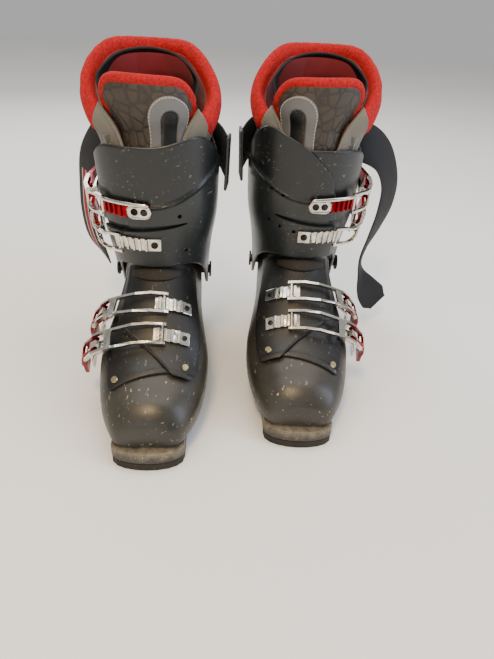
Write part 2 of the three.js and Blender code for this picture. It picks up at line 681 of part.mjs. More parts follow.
// The bail: two rails joined by a plate near the lever, a pin through the lever and a bar in the ladder's teeth.
function bail(at, hinge, hook) {
  const half = buckleWidth / 2 + pieceGap + 0.2;
  const rear = hinge - bailBack;
  const lift = hingeLift + bailLift;
  const low = ladderBase + pinRadius + 0.7;
  const line = [[rear - 2.2, lift - 1.4, lift + 1.4], [rear, lift - 2, lift + 2],
    [hinge + 8, lift - 1.6, lift + 1.8]];
  const first = hinge + 8;
  for (let k = 1; k <= bailSteps; k++) {
    const share = k / bailSteps;
    const rise = THREE.MathUtils.lerp(lift, low + 0.6, share ** 0.8);
    line.push([THREE.MathUtils.lerp(first, hook, share), rise - 1.8, rise + 1.8]);
  }
  line.push([hook + 3, low - 1.2, low + 2]);
  const body = rail(at, line, half, half + railWidth).add(rail(at, line, -half - railWidth, -half))
    .add(pin(at, rear, lift, pinRadius, -half - 1, half + 1))
    .add(pin(at, hook, low, pinRadius, -half - 1, half + 1));
  const from = hinge + 11;
  const bridge = rail(at, [[from, lift - 1, lift + 1], [from + 6, lift - 1.1, lift + 0.9]], -half - 1, half + 1);
  return body.add(bridge);
}

// Where each buckle sits: hinge, ladder end, teeth and which valley the bail's bar is in, along its path.
const upTheCuff = (share) => heightShare(THREE.MathUtils.lerp(cuffLowEdge.z, cuffHeight, share));
const onShell = {
  on: "shell", surface: shellSurface, base: flapStack, end: 33, teeth: 4, hooked: 2, plate: 8, lever: 40,
};
const onCuff = { on: "cuff", surface: cuffSurface, base: pieceGap, teeth: 6, hooked: 4, lever: 42 };
const buckles = [
  { name: "toe", ...onShell, along: 0.392, hinge: -50 },
  { name: "instep", ...onShell, along: 0.495, hinge: -47 },
  { name: "ankle", ...onCuff, along: upTheCuff(0.227), hinge: -78, end: 7, plate: 12 },
  { name: "shin", ...onCuff, along: upTheCuff(0.513), hinge: -96, end: -1, plate: 20 },
];

// Power strap: webbing round the back of the cuff near its top, with both ends loose. ends lists the long end's way
// down beside the boot, as points with the direction across the webbing.
function powerStrap(longEnd) {
  const height = cuffHeight - 22;
  const overCuff = [];
  for (let i = 0; i <= 10; i++) {
    const round = THREE.MathUtils.lerp(strapFrom, 2 * Math.PI - strapTo, i / 10);
    const rise = 8 * bump(i / 10, 0.5, 0.35);
    const stand = strapThickness / 2 + strapGap + 5 * THREE.MathUtils.smoothstep(-i, -1.5, 0);
    const place = frameAt(cuffSurface, heightShare(height + rise), round);
    overCuff.push([...place.point.addScaledVector(place.normal, stand), ...place.up]);
  }
  const hanging = longEnd.map(([x, y, share, ...across]) => [x, pivot.y + y, share * cuffHeight, ...across]);
  return band([...overCuff, ...hanging], strapWidth, strapThickness, 32);
}

// Assembly

const finish = {
  shell: { color: 0x55565a, roughness: 0.45 },
  cuff: { color: 0x3b3e42, roughness: 0.38 },
  flap: { color: 0x2b2a28, roughness: 0.6 },
  sole: { color: 0x2a2826, roughness: 0.8 },
  liner: { color: 0x6d6b66, roughness: 0.7 },
  tongue: { color: 0x4a4238, roughness: 0.65 },
  webbing: { color: 0x14161b, roughness: 0.85 },
  chrome: { color: 0xc9c6bd, roughness: 0.22, metalness: 1 },
  redLever: { color: 0x8e1220, roughness: 0.3, metalness: 0.3 },
  board: { color: 0x8a8a86, roughness: 0.7 },
};

function meshOf(name, body, look) {
  const mesh = new THREE.Mesh(geometryFrom(body), new THREE.MeshStandardMaterial(finish[look]));
  mesh.name = name;
  return mesh;
}

// A group whose origin is a hinge, with its X axis along the hinge; the pieces in it keep their places.
function hinged(name, origin, axis, pieces) {
  const group = new THREE.Group();
  group.name = name;
  group.position.copy(origin);
  group.quaternion.setFromUnitVectors(new THREE.Vector3(1, 0, 0), axis.clone().normalize());
  group.updateMatrix();
  const back = group.matrix.clone().invert();
  for (const piece of pieces) {
    if (piece.isMesh) piece.geometry.applyMatrix4(back);
    else piece.applyMatrix4(back);
    group.add(piece);
  }
  return group;
}

function makeBuckle(prefix, buckle) {
  const at = buckleSpace(pathOver(buckle.surface, buckle.along), buckle.base, buckle.hinge);
  const name = (piece) => `${prefix}_${buckle.name}_${piece}`;
  const hingePoint = at({ a: buckle.hinge, b: 0, c: hingeLift });
  const bailPoint = at({ a: buckle.hinge - bailBack, b: 0, c: hingeLift + bailLift });
  const across = at({ a: buckle.hinge, b: -1, c: hingeLift }).sub(at({ a: buckle.hinge, b: 1, c: hingeLift }));
  const bailGroup = hinged(name("bail_hinge"), bailPoint, across,
    [meshOf(name("bail"), bail(at, buckle.hinge, valley(buckle.end, buckle.plate, buckle.hooked)), "chrome")]);
  const leverGroup = hinged(name("lever_hinge"), hingePoint, across,
    [meshOf(name("lever"), lever(at, buckle.hinge, buckle.lever), "redLever"), bailGroup]);
  return [
    meshOf(name("ladder"), ladder(at, buckle.end, buckle.teeth, buckle.plate), "chrome"),
    meshOf(name("buckle_base"), buckleBase(at, buckle.hinge), "chrome"),
    leverGroup,
  ];
}

function makeBoot(prefix, { flapEdge, longEnd }) {
  const lowerPieces = [
    meshOf(`${prefix}_lower_shell`, lowerShell(), "shell"),
    meshOf(`${prefix}_toe_sole`, slabFrom(toeOutline, 0, solePlate - pieceGap), "sole"),
    meshOf(`${prefix}_heel_sole`, slabFrom(heelOutline, 0, solePlate - pieceGap), "sole"),
    meshOf(`${prefix}_boot_board`, bootBoard(), "board"),
    meshOf(`${prefix}_throat_flap_outer_side`, solid(outerSideFlap()), "flap"),
    meshOf(`${prefix}_throat_flap_inner_side`, solid(innerSideFlap()), "flap"),
    meshOf(`${prefix}_cuff_pivot_outer`, cuffPivot(-1), "chrome"),
    meshOf(`${prefix}_cuff_pivot_inner`, cuffPivot(1), "chrome"),
    meshOf(`${prefix}_liner_foot`, linerFoot(), "liner"),
  ];
  const cuffPieces = [
    meshOf(`${prefix}_cuff`, cuff(flapEdge), "cuff"),
    meshOf(`${prefix}_liner_shaft`, linerShaft(), "liner"),
    meshOf(`${prefix}_liner_tongue`, linerTongue(), "tongue"),
    meshOf(`${prefix}_pull_loop`, pullLoop(), "webbing"),
    meshOf(`${prefix}_power_strap`, powerStrap(longEnd), "webbing"),
  ];
  for (const buckle of buckles) {
    const pieces = buckle.on === "shell" ? lowerPieces : cuffPieces;
    pieces.push(...makeBuckle(prefix, buckle));
  }
  const boot = new THREE.Group();
  boot.name = `${prefix}_boot`;
  boot.add(...lowerPieces, hinged(`${prefix}_cuff_hinge`, pivot, new THREE.Vector3(1, 0, 0), cuffPieces));
  return boot;
}

// What differs between the boots: how far the inner side's flap is pulled over, and how the long strap end
// hangs, as x, y from the cuff's pivot, z as a share of the cuff's height, and the direction across the webbing.
const rightStyle = {
  flapEdge: [-0.95, -1.0],
  longEnd: [
    [-64, 19.5, 0.9077, -0.1, 0.3, 1], [-83, 30.5, 0.8192, -0.5, 0.8, 0.35], [-87, 32.5, 0.6846, -0.6, 0.8, 0],
    [-88, 32.5, 0.5615, -0.6, 0.8, 0], [-83, 32.5, 0.4462, -0.6, 0.8, 0], [-72, 34.5, 0.3462, -0.4, 0.9, 0],
  ],
};
const leftStyle = {
  flapEdge: [-0.62, -0.36],
  longEnd: [
    [-70, 17.5, 0.9154, -0.1, 0.2, 1], [-95, 26.5, 0.8538, -0.45, 0.7, 0.6], [-109, 29.5, 0.7385, -0.6, 0.8, 0.1],
    [-109, 29.5, 0.6154, -0.6, 0.8, 0], [-101, 29.5, 0.4923, -0.5, 0.85, 0], [-92, 29.5, 0.3769, -0.35, 0.9, 0],
    [-92, 28.5, 0.2769, -0.25, 1, 0.1], [-104, 25.5, 0.1923, -0.5, 0.7, 0.4], [-121, 22.5, 0.1231, -0.65, 0.35, 0.5],
  ],
};

const pair = new THREE.Group();
pair.name = "ski_boots";
const rightBoot = makeBoot("right", rightStyle);
rightBoot.position.set(-bootSpacing / 2, 0, 0);
rightBoot.rotation.z = rightBootTurn;
const leftBoot = makeBoot("left", leftStyle);
leftBoot.scale.x = -1;
leftBoot.position.set(bootSpacing / 2, leftBootBack, 0);
leftBoot.rotation.z = leftBootTurn;
pair.add(rightBoot, leftBoot);

// The origin is under the middle of the pair.
const bounds = new THREE.Box3().setFromObject(pair, true);
const middle = bounds.getCenter(new THREE.Vector3());
rightBoot.position.sub(new THREE.Vector3(middle.x, middle.y, 0));
leftBoot.position.sub(new THREE.Vector3(middle.x, middle.y, 0));

export default pair;
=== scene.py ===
import json
import math
import bmesh
import bpy
from mathutils import Matrix, Vector


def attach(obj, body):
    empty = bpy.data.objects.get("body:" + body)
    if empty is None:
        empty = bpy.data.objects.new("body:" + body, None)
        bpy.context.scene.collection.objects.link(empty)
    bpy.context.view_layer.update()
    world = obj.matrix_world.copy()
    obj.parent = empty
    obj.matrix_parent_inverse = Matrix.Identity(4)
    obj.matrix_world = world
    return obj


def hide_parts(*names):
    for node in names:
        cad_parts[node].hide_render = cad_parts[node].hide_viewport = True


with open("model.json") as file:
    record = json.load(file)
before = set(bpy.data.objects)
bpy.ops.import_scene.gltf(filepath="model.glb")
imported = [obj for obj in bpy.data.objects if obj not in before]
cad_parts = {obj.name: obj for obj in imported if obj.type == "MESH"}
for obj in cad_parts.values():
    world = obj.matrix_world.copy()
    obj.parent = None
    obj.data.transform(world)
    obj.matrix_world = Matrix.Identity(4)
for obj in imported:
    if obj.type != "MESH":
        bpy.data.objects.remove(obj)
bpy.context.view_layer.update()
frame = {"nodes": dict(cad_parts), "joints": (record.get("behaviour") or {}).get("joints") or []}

sides = ("right", "left")

# The boot's own space is in millimetres: toes towards -Y, outer side towards -X, left boot mirrored.
boot = dict(soleLength=305, forefootWidth=107, throatHeight=153, shellWall=4.5, cuffWall=3.4, cuffHeight=260,
            spoilerRise=22, cuffHalfWidth=61, cuffDepth=133, pivotFromHeel=80, pivotHeight=98,
            linerThickness=8, collarHeight=333, tongueHeight=310, flapThickness=1.8, flapGap=1.1)
toeY = -boot["soleLength"] / 2
heelY = boot["soleLength"] / 2
pivot = Vector((0, heelY - boot["pivotFromHeel"], boot["pivotHeight"]))


def bootMatrix(side):
    # boot space to the row frame, from where the cuff turns
    hinge = next(joint for joint in frame["joints"] if joint["name"] == f"{side}_cuff_flex")
    turn = math.atan(hinge["axis"][1] / hinge["axis"][0])
    mirror = -1 if side == "left" else 1
    return (Matrix.Translation(hinge["pos_m"]) @ Matrix.Rotation(turn, 4, "Z")
            @ Matrix.Diagonal((0.001 * mirror, 0.001, 0.001, 1)) @ Matrix.Translation(-pivot))


places = {side: bootMatrix(side) for side in sides}
print("boots placed")


# Camera, floor and light
view = dict(lens=29.66, aside=95, before=503, height=378, down=32, roll=3.2)
rightOrigin = places["right"] @ Vector((0, 0, 0))
cameraData = bpy.data.cameras.new("camera")
cameraData.lens = view["lens"]
cameraData.sensor_fit = "VERTICAL"
cameraData.sensor_height = 36
camera = bpy.data.objects.new("camera", cameraData)
camera.location = rightOrigin + Vector((view["aside"], -view["before"], view["height"])) * 0.001
camera.rotation_euler = (Matrix.Rotation(math.radians(90 - view["down"]), 4, "X")
        @ Matrix.Rotation(math.radians(view["roll"]), 4, "Z")).to_euler()
bpy.context.scene.collection.objects.link(camera)
bpy.context.scene.camera = camera


def addNode(tree, kind, inputs=(), **settings):
    # a kind without its prefix is one of the tree's own; a node as an input means its first output
    prefix = "" if "Node" in kind else tree.bl_idname.replace("Tree", "")
    node = tree.nodes.new(prefix + kind)
    for name, value in settings.items():
        setattr(node, name, value)
    for name, value in dict(inputs).items():
        if isinstance(value, bpy.types.Node):
            value = value.outputs[0]
        if isinstance(value, bpy.types.NodeSocket):
            tree.links.new(value, node.inputs[name])
        else:
            node.inputs[name].default_value = value
    return node


def linear(hexColour):
    values = [int(hexColour[i:i + 2], 16) / 255 for i in (1, 3, 5)]
    return [v / 12.92 if v <= 0.04045 else ((v + 0.055) / 1.055) ** 2.4 for v in values] + [1]


def startMaterial(name, colour, roughness, **sockets):
    material = bpy.data.materials.new(name)
    material.use_nodes = True
    tree = material.node_tree
    shader = tree.nodes["Principled BSDF"]
    shader.inputs["Base Color"].default_value = linear(colour)
    shader.inputs["Roughness"].default_value = roughness
    for socket, value in sockets.items():
        shader.inputs[socket.replace("_", " ")].default_value = value
    return material, tree, shader


def finishShader(tree, shader, colour, height, strength, distance, rough=None):
    # links the colour, the bump and, where it varies, the roughness
    bump = addNode(tree, "Bump", {"Height": height, "Strength": strength, "Distance": distance})
    for socket, value in (("Base Color", colour), ("Normal", bump.outputs[0]), ("Roughness", rough)):
        if value is not None:
            tree.links.new(value, shader.inputs[socket])


mm = 1000  # a noise scale that gives one feature per millimetre
mmWave = 100 * math.pi  # a wave scale that gives one band per millimetre


def polyurethane(name, clean, dusty, roughness, scuffs):
    # injection-moulded polyurethane: smooth and a little waxy, with pale scuffs and fine scratches
    material, tree, shader = startMaterial(name, clean, roughness)
    place = addNode(tree, "TexCoord").outputs["Object"]
    cloud = addNode(tree, "TexNoise", {"Vector": place, "Scale": mm / 45, "Detail": 5, "Roughness": 0.6})
    cloudy = addNode(tree, "MapRange", {"Value": cloud, "From Min": 0.35, "From Max": 0.72})
    tone = addNode(tree, "Mix", {0: cloudy, 6: linear(clean), 7: linear(dusty)}, data_type="RGBA")
    # the cuff is paler below its ridge, by its own attribute
    pale = addNode(tree, "Attribute", attribute_name="pale").outputs["Fac"]
    tone = addNode(tree, "Mix", {0: pale, 6: tone.outputs[2], 7: linear("#232828")}, data_type="RGBA")
    # scratches: thin streaks of stretched noise in two directions
    streaks = []
    for turn, stretch in ((0.5, 14), (-0.9, 10)):
        laid = addNode(tree, "Mapping", {"Vector": place, "Rotation": (turn, turn * 0.6, turn),
                "Scale": (mm / 3, mm / (3 * stretch), mm / 3)})
        noise = addNode(tree, "TexNoise", {"Vector": laid, "Scale": 1, "Detail": 2})
        streaks.append(addNode(tree, "MapRange", {"Value": noise, "From Min": 0.67, "From Max": 0.73,
                "To Max": scuffs}))
    scratched = addNode(tree, "Math", {0: streaks[0].outputs[0], 1: streaks[1].outputs[0]},
            operation="MAXIMUM")
    patch = addNode(tree, "TexNoise", {"Vector": place, "Scale": mm / 28, "Detail": 2})
    where = addNode(tree, "MapRange", {"Value": patch, "From Min": 0.40, "From Max": 0.62})
    visible = addNode(tree, "Math", {0: scratched, 1: where}, operation="MULTIPLY")
    marked = addNode(tree, "Mix", {0: visible, 6: tone.outputs[2], 7: linear("#a9a28f")}, data_type="RGBA")
    # worn: the pieces' own attribute for rubbed edges and the lug's dirt
    worn = addNode(tree, "Attribute", attribute_name="wear").outputs["Fac"]
    grit = addNode(tree, "TexNoise", {"Vector": place, "Scale": mm / 7, "Detail": 6, "Roughness": 0.7})
    rubbed = addNode(tree, "Math", {0: grit, 1: worn}, operation="MULTIPLY")
    amount = addNode(tree, "MapRange", {"Value": rubbed, "From Min": 0.18, "From Max": 0.62})
    base = addNode(tree, "Mix", {0: amount, 6: marked.outputs[2], 7: linear("#94866c")}, data_type="RGBA")
    rough = addNode(tree, "MapRange", {"Value": cloud, "From Min": 0.3, "From Max": 0.75,
            "To Min": roughness - 0.06, "To Max": roughness + 0.12})
    skin = addNode(tree, "TexNoise", {"Vector": place, "Scale": mm / 1.6, "Detail": 3})
    height = addNode(tree, "Math", {0: visible, 1: -1.5, 2: skin}, operation="MULTIPLY_ADD")
    finishShader(tree, shader, base.outputs[2], height.outputs[0], 0.16, 0.0004, rough.outputs[0])
    return material


def metal(name, colour, roughness, dull):
    # cast and plated metal: mirror-like where it is clean, duller and darker in worn patches
    material, tree, shader = startMaterial(name, colour, roughness, Metallic=1.0)
    place = addNode(tree, "TexCoord").outputs["Object"]
    cloud = addNode(tree, "TexNoise", {"Vector": place, "Scale": mm / 11, "Detail": 4, "Roughness": 0.55})
    share = addNode(tree, "MapRange", {"Value": cloud, "From Min": 0.38, "From Max": 0.66})
    tone = addNode(tree, "Mix", {0: share, 6: linear(colour), 7: linear(dull)}, data_type="RGBA")
    rough = addNode(tree, "MapRange", {"Value": cloud, "From Min": 0.35, "From Max": 0.7,
            "To Min": roughness * 0.7, "To Max": roughness * 2.2})
    pits = addNode(tree, "TexNoise", {"Vector": place, "Scale": mm / 0.9, "Detail": 3})
    finishShader(tree, shader, tone.outputs[2], pits.outputs["Fac"], 0.12, 0.0003, rough.outputs[0])
    return material


def fleece():
    # brushed polyester fleece: matt red pile with a soft edge glow, its colour painted darker between the
    # tufts and lighter on their tops, painted shade and painted light that follow the bump
    material, tree, shader = startMaterial("brushedFleece", "#b80812", 0.95, Sheen_Weight=0.12,
            Sheen_Roughness=0.5)
    shader.inputs["Sheen Tint"].default_value = linear("#ff6a4a")
    place = addNode(tree, "TexCoord").outputs["Object"]
    tufts = addNode(tree, "TexNoise", {"Vector": place, "Scale": mm / 2.2, "Detail": 5, "Roughness": 0.75})
    share = addNode(tree, "MapRange", {"Value": tufts, "From Min": 0.35, "From Max": 0.65})
    # painted shade: the low places of the tuft noise, the hollows between the tufts, get the darker red and
    # the tops the lighter one
    tone = addNode(tree, "Mix", {0: share, 6: linear("#7e040c"), 7: linear("#c40811")}, data_type="RGBA")
    finishShader(tree, shader, tone.outputs[2], tufts.outputs["Fac"], 0.7, 0.0012)
    return material


def lining():
    # brushed nylon knit: deep red, fine ribs that run down the leg
    material, tree, shader = startMaterial("brushedNylonLining", "#8d1f2c", 0.8, Sheen_Weight=0.25)
    place = addNode(tree, "TexCoord")
    ribs = addNode(tree, "TexWave", {"Vector": place.outputs["UV"], "Scale": mmWave / 1.4,
            "Distortion": 1.2, "Detail": 2}, bands_direction="X")
    cloud = addNode(tree, "TexNoise", {"Vector": place.outputs["Object"], "Scale": mm / 20, "Detail": 4})
    tone = addNode(tree, "Mix", {0: cloud, 6: linear("#5f0f19"), 7: linear("#8a1724")}, data_type="RGBA")
    finishShader(tree, shader, tone.outputs[2], ribs.outputs["Fac"], 0.25, 0.0003)
    return material


def coatedFabric(name, light, dark, roughness):
    # polyurethane-coated fabric: a soft leather-like grain with a dull shine
    material, tree, shader = startMaterial(name, light, roughness)
    place = addNode(tree, "TexCoord").outputs["Object"]
    grain = addNode(tree, "TexVoronoi", {"Vector": place, "Scale": mm / 1.6})
    cloud = addNode(tree, "TexNoise", {"Vector": place, "Scale": mm / 18, "Detail": 5})
    tone = addNode(tree, "Mix", {0: cloud, 6: linear(dark), 7: linear(light)}, data_type="RGBA")
    finishShader(tree, shader, tone.outputs[2], grain.outputs["Distance"], 0.3, 0.0004)
    return material


def hexagonFabric():
    # embossed neoprene: rounded cells about 12 mm across, brown-grey, with painted shade along the sunk seams
    material, tree, shader = startMaterial("embossedNeoprene", "#4d4239", 0.55)
    place = addNode(tree, "TexCoord").outputs["UV"]
    cells = addNode(tree, "TexVoronoi", {"Vector": place, "Scale": mm / 12, "Randomness": 0.6},
            feature="DISTANCE_TO_EDGE")
    seamDepthAndShade = addNode(tree, "MapRange", {"Value": cells.outputs["Distance"], "From Max": 0.16})
    weave = addNode(tree, "TexNoise", {"Vector": place, "Scale": mm / 1.2, "Detail": 3})
    cloud = addNode(tree, "TexNoise", {"Vector": place, "Scale": mm / 22, "Detail": 3})
    cell = addNode(tree, "Mix", {0: cloud, 6: linear("#322c27"), 7: linear("#4a3f31")}, data_type="RGBA")
    # painted shade: the sunk seams, the low places of the bump, are coloured darker
    tone = addNode(tree, "Mix", {0: seamDepthAndShade, 6: linear("#2a2520"), 7: cell.outputs[2]}, data_type="RGBA")
    height = addNode(tree, "Math", {0: weave, 1: 0.25, 2: seamDepthAndShade}, operation="MULTIPLY_ADD")
    finishShader(tree, shader, tone.outputs[2], height.outputs[0], 0.5, 0.0008)
    return material


def webbing(name, colour, rib, stripe=None):
    # woven polyester webbing: ribs across the band, a tight selvedge and a faint nylon sheen, with a painted
    # highlight that colours the raised weave lighter
    material, tree, shader = startMaterial(name, colour, 0.75)
    place = addNode(tree, "TexCoord").outputs["UV"]
    ribs = addNode(tree, "TexWave", {"Vector": place, "Scale": mmWave / rib, "Distortion": 0.3},
            bands_direction="X")
    threads = addNode(tree, "TexWave", {"Vector": place, "Scale": mmWave / (rib * 0.7)}, bands_direction="Y")
    weaveHeightAndHighlight = addNode(tree, "Math", {0: ribs.outputs["Fac"], 1: threads.outputs["Fac"]}, operation="MULTIPLY")
    # painted highlight: where ribs and threads both stand high, the black turns to a paler grey
    tone = addNode(tree, "Mix", {0: weaveHeightAndHighlight, 6: linear(colour), 7: linear("#1d1d21")}, data_type="RGBA")
    shown = tone.outputs[2]
    if stripe:
        # a woven-in stripe with pale edges, from a distance along the strap to its end
        half = stripe["half"]
        spot = addNode(tree, "SeparateXYZ", {0: place}).outputs
        past = addNode(tree, "Math", {0: spot["X"], 1: stripe["start"]}, operation="GREATER_THAN")
        apart = addNode(tree, "Math", {0: spot["Y"], 1: stripe["middle"]}, operation="SUBTRACT")
        size = addNode(tree, "Math", {0: apart}, operation="ABSOLUTE").outputs[0]
        inside = addNode(tree, "MapRange", {"Value": size, "From Min": half, "From Max": half * 0.94})
        rim = addNode(tree, "MapRange", {"Value": size, "From Min": half * 0.72, "From Max": half * 0.66})
        band = addNode(tree, "Mix", {0: rim, 6: linear(stripe["edge"]), 7: linear(stripe["colour"])},
                data_type="RGBA")
        shownBand = addNode(tree, "Math", {0: inside, 1: past}, operation="MULTIPLY")
        shown = addNode(tree, "Mix", {0: shownBand, 6: tone.outputs[2], 7: band.outputs[2]},
                data_type="RGBA").outputs[2]
    finishShader(tree, shader, shown, weaveHeightAndHighlight.outputs[0], 0.5, 0.0004)
    return material


def floorPaint():
    # matt white studio board, very slightly mottled
    material, tree, shader = startMaterial("mattBoard", "#f4f4f2", 0.9)
    place = addNode(tree, "TexCoord").outputs["Object"]
    cloud = addNode(tree, "TexNoise", {"Vector": place, "Scale": 3})
    tone = addNode(tree, "Mix", {0: cloud, 6: linear("#f6f6f4"), 7: linear("#f1f1ef")}, data_type="RGBA")
    tree.links.new(tone.outputs[2], shader.inputs["Base Color"])
    return material


looks = dict(
    shell=polyurethane("scuffedPolyurethane", "#282723", "#3d3a31", 0.38, 0.9),
    cuff=polyurethane("glossyPolyurethane", "#12171a", "#1b1e1e", 0.34, 0.4),
    flap=polyurethane("blackPolyurethane", "#080807", "#131210", 0.42, 0.3),
    sole=polyurethane("soleRubber", "#161412", "#2f291f", 0.75, 0.4),
    board=polyurethane("boardPolyethylene", "#85837d", "#77746c", 0.6, 0.2),
    strapClip=polyurethane("acetalBlack", "#111113", "#1b1b1d", 0.25, 0.2),
    chrome=metal("chromedZinc", "#e2dfd6", 0.13, "#b3ada0"),
    steel=metal("blackenedSteel", "#3a3836", 0.35, "#242220"),
    red=metal("redAnodisedAluminium", "#8f0c19", 0.2, "#6a0a14"),
    brass=metal("brass", "#cbbf96", 0.3, "#857a58"),
    fleece=fleece(),
    lining=lining(),
    linerSide=coatedFabric("coatedFabricGrey", "#75736c", "#5d5b55", 0.5),
    panel=coatedFabric("coatedFabricSilver", "#6f7071", "#626263", 0.42),
    piping=coatedFabric("pipingCord", "#6f6d67", "#5c5a54", 0.5),
    tongue=hexagonFabric(),
    webbing=webbing("wovenWebbing", "#060607", 1.4),
    webbingStriped=webbing("wovenWebbingStriped", "#060607", 1.4, dict(
        middle=0.006, half=0.006, start=0.235, colour="#8e0f18", edge="#c9c4bc")),
    thread=coatedFabric("polyesterThread", "#c9c5b8", "#a9a598", 0.6),
    floor=floorPaint(),
)
print("materials made")

floorMesh = bpy.data.meshes.new("floor")
floorMesh.from_pydata([(-4, -4, 0), (4, -4, 0), (4, 4, 0), (-4, 4, 0)], [], [(0, 1, 2, 3)])
floorMesh.materials.append(looks["floor"])
floor = bpy.data.objects.new("floor", floorMesh)
bpy.context.scene.collection.objects.link(floor)


def addLight(name, place, aim, size, power, colour):
    data = bpy.data.lights.new(name, "AREA")
    data.shape = "RECTANGLE"
    data.size, data.size_y = size
    data.energy = power
    data.color = linear(colour)[:3]
    lamp = bpy.data.objects.new(name, data)
    lamp.location = place
    lamp.rotation_euler = (Vector(aim) - Vector(place)).to_track_quat("-Z", "Y").to_euler()
    bpy.context.scene.collection.objects.link(lamp)


# name, place, aim, size, watts and colour
for light in (
    ("ceiling", (0, 0.3, 2.2), (0, 0, 0), (2.2, 1.6), 40, "#fff8ee"),
    ("warmLamp", (-0.15, -0.75, 1.25), (0, 0, 0.1), (0.22, 0.22), 11, "#ffd9a0"),
    ("coolWindow", (1.3, -0.3, 0.8), (0, 0, 0.15), (0.5, 1.2), 13, "#d9e6ff"),
    ("frontFill", (-0.3, -1.7, 0.7), (0, 0, 0.15), (1.2, 0.8), 4, "#ffffff"),
    ("backRim", (-0.6, 1.3, 1.0), (0, 0, 0.2), (1.2, 0.6), 9, "#ffffff"),
):
    addLight(*light)
world = bpy.data.worlds.new("studio")
world.use_nodes = True
world.node_tree.nodes["Background"].inputs["Color"].default_value = linear("#ffffff")
world.node_tree.nodes["Background"].inputs["Strength"].default_value = 0.46
bpy.context.scene.world = world
print("camera, floor and light set")


# Shared shapes

def mix(a, b, share):
    return a + (b - a) * share


def ease(value, low, high):
    share = min(1, max(0, (value - low) / (high - low)))
    return share * share * (3 - 2 * share)


def hump(value, centre, width):
    return math.exp(-(((value - centre) / width) ** 2))


def wrapped(angle):
    return math.atan2(math.sin(angle), math.cos(angle))


def through(points):
    # a smooth curve through points by share of the list; past 1 it runs straight on
    points = [Vector(p) for p in points]
    ends = [2 * points[0] - points[1], *points, 2 * points[-1] - points[-2]]

    def at(share):
        place = min(max(share, 0), 1) * (len(points) - 1)
        first = min(int(place), len(points) - 2)
        t = place - first
        a, b, c, d = ends[first:first + 4]
        start = (c - a) / 2
        stop = (d - b) / 2
        return (b + start * t + (3 * (c - b) - 2 * start - stop) * t * t
                + (2 * (b - c) + start + stop) * t ** 3)

    end = at(1)
    slope = (end - at(0.99)) * 100
    return lambda share: end + slope * (share - 1) if share > 1 else at(share)


def frameOn(surface, along, turn):
    step = 1e-3
    point = surface(along, turn)
    up = (surface(along + step, turn) - point).normalized()
    across = (surface(along, turn + step) - surface(along, turn - step)).normalized()
    return point, up, across, across.cross(up).normalized()


def offSurface(surface, along, turn, off):
    point, up, across, normal = frameOn(surface, along, turn)
    return point + normal * off


def shares(count, rim=0.0):
    # evenly spaced shares, with extra ones close to both ends where an edge is rounded
    inner = [rim + (1 - 2 * rim) * i / count for i in range(count + 1)]
    if not rim:
        return inner
    edge = [0, 0.08 * rim, 0.3 * rim, 0.65 * rim]
    return edge + inner + [1 - share for share in reversed(edge)]


def addPiece(side, name, points, faces, look, body, slot, node=None, uv=None, wear=None, angle=40):
    mesh = bpy.data.meshes.new(f"{side}_{name}")
    mesh.from_pydata([tuple(p) for p in points], [], faces)
    mesh.update()
    if uv:
        layer = mesh.uv_layers.new(name="UVMap")
        for loop in mesh.loops:
            layer.data[loop.index].uv = uv[loop.vertex_index]
    if wear:
        attribute = mesh.attributes.new("wear", "FLOAT", "POINT")
        attribute.data.foreach_set("value", wear)
    return finishPiece(side, name, mesh, look, body, slot, node, angle)


def finishPiece(side, name, mesh, look, body, slot, node=None, angle=40):
    # puts a mesh in its place as a piece that rides a body and may stand for a node of the frame
    mesh.transform(places[side])
    shape = bmesh.new()
    shape.from_mesh(mesh)
    bmesh.ops.remove_doubles(shape, verts=shape.verts, dist=1e-7)
    if shape.calc_volume(signed=True) < 0:
        bmesh.ops.reverse_faces(shape, faces=shape.faces)
    shape.to_mesh(mesh)
    shape.free()
    mesh.shade_smooth()
    mesh.set_sharp_from_angle(angle=math.radians(angle))
    mesh.materials.clear()
    mesh.materials.append(looks[look])
    piece = bpy.data.objects.new(f"{side}_{name}", mesh)
    bpy.context.scene.collection.objects.link(piece)
    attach(piece, f"{side}_{body}")
    if node:
        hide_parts(f"{side}_{node}")
    return piece


def plateOf(columns, rows, at):
    # a closed plate between two faces: at(u, v, face) with face 0 behind and 1 in front
    points = [at(u, v, face) for face in (0, 1) for u in columns for v in rows]
    wide = len(columns)
    tall = len(rows)
    number = lambda face, i, j: (face * wide + i) * tall + j
    faces = []
    for i in range(wide - 1):
        for j in range(tall - 1):
            faces.append((number(0, i, j), number(0, i, j + 1), number(0, i + 1, j + 1), number(0, i + 1, j)))
            faces.append((number(1, i, j), number(1, i + 1, j), number(1, i + 1, j + 1), number(1, i, j + 1)))
        faces.append((number(0, i, 0), number(0, i + 1, 0), number(1, i + 1, 0), number(1, i, 0)))
        end = tall - 1
        faces.append((number(0, i, end), number(1, i, end), number(1, i + 1, end), number(0, i + 1, end)))
    for j in range(tall - 1):
        faces.append((number(0, 0, j), number(1, 0, j), number(1, 0, j + 1), number(0, 0, j + 1)))
        end = wide - 1
        faces.append((number(0, end, j), number(0, end, j + 1), number(1, end, j + 1), number(1, end, j)))
    return points, faces


def uvOf(columns, rows, width, height):
    return [(u * width * 0.001, v * height * 0.001) for face in (0, 1) for u in columns for v in rows]


def loftOf(rings):
    # a closed body through a row of closed rings
    count = len(rings[0])
    points = [p for ring in rings for p in ring]
    faces = []
    for i in range(len(rings) - 1):
        for j in range(count):
            a = i * count + j
            b = i * count + (j + 1) % count
            faces.append((a, b, b + count, a + count))
    for ring, order in ((0, -1), (len(rings) - 1, 1)):
        centre = len(points)
        points.append(sum((Vector(p) for p in rings[ring]), Vector()) / count)
        for j in range(count):
            a = ring * count + j
            b = ring * count + (j + 1) % count
            faces.append((centre, a, b) if order > 0 else (centre, b, a))
    return points, faces


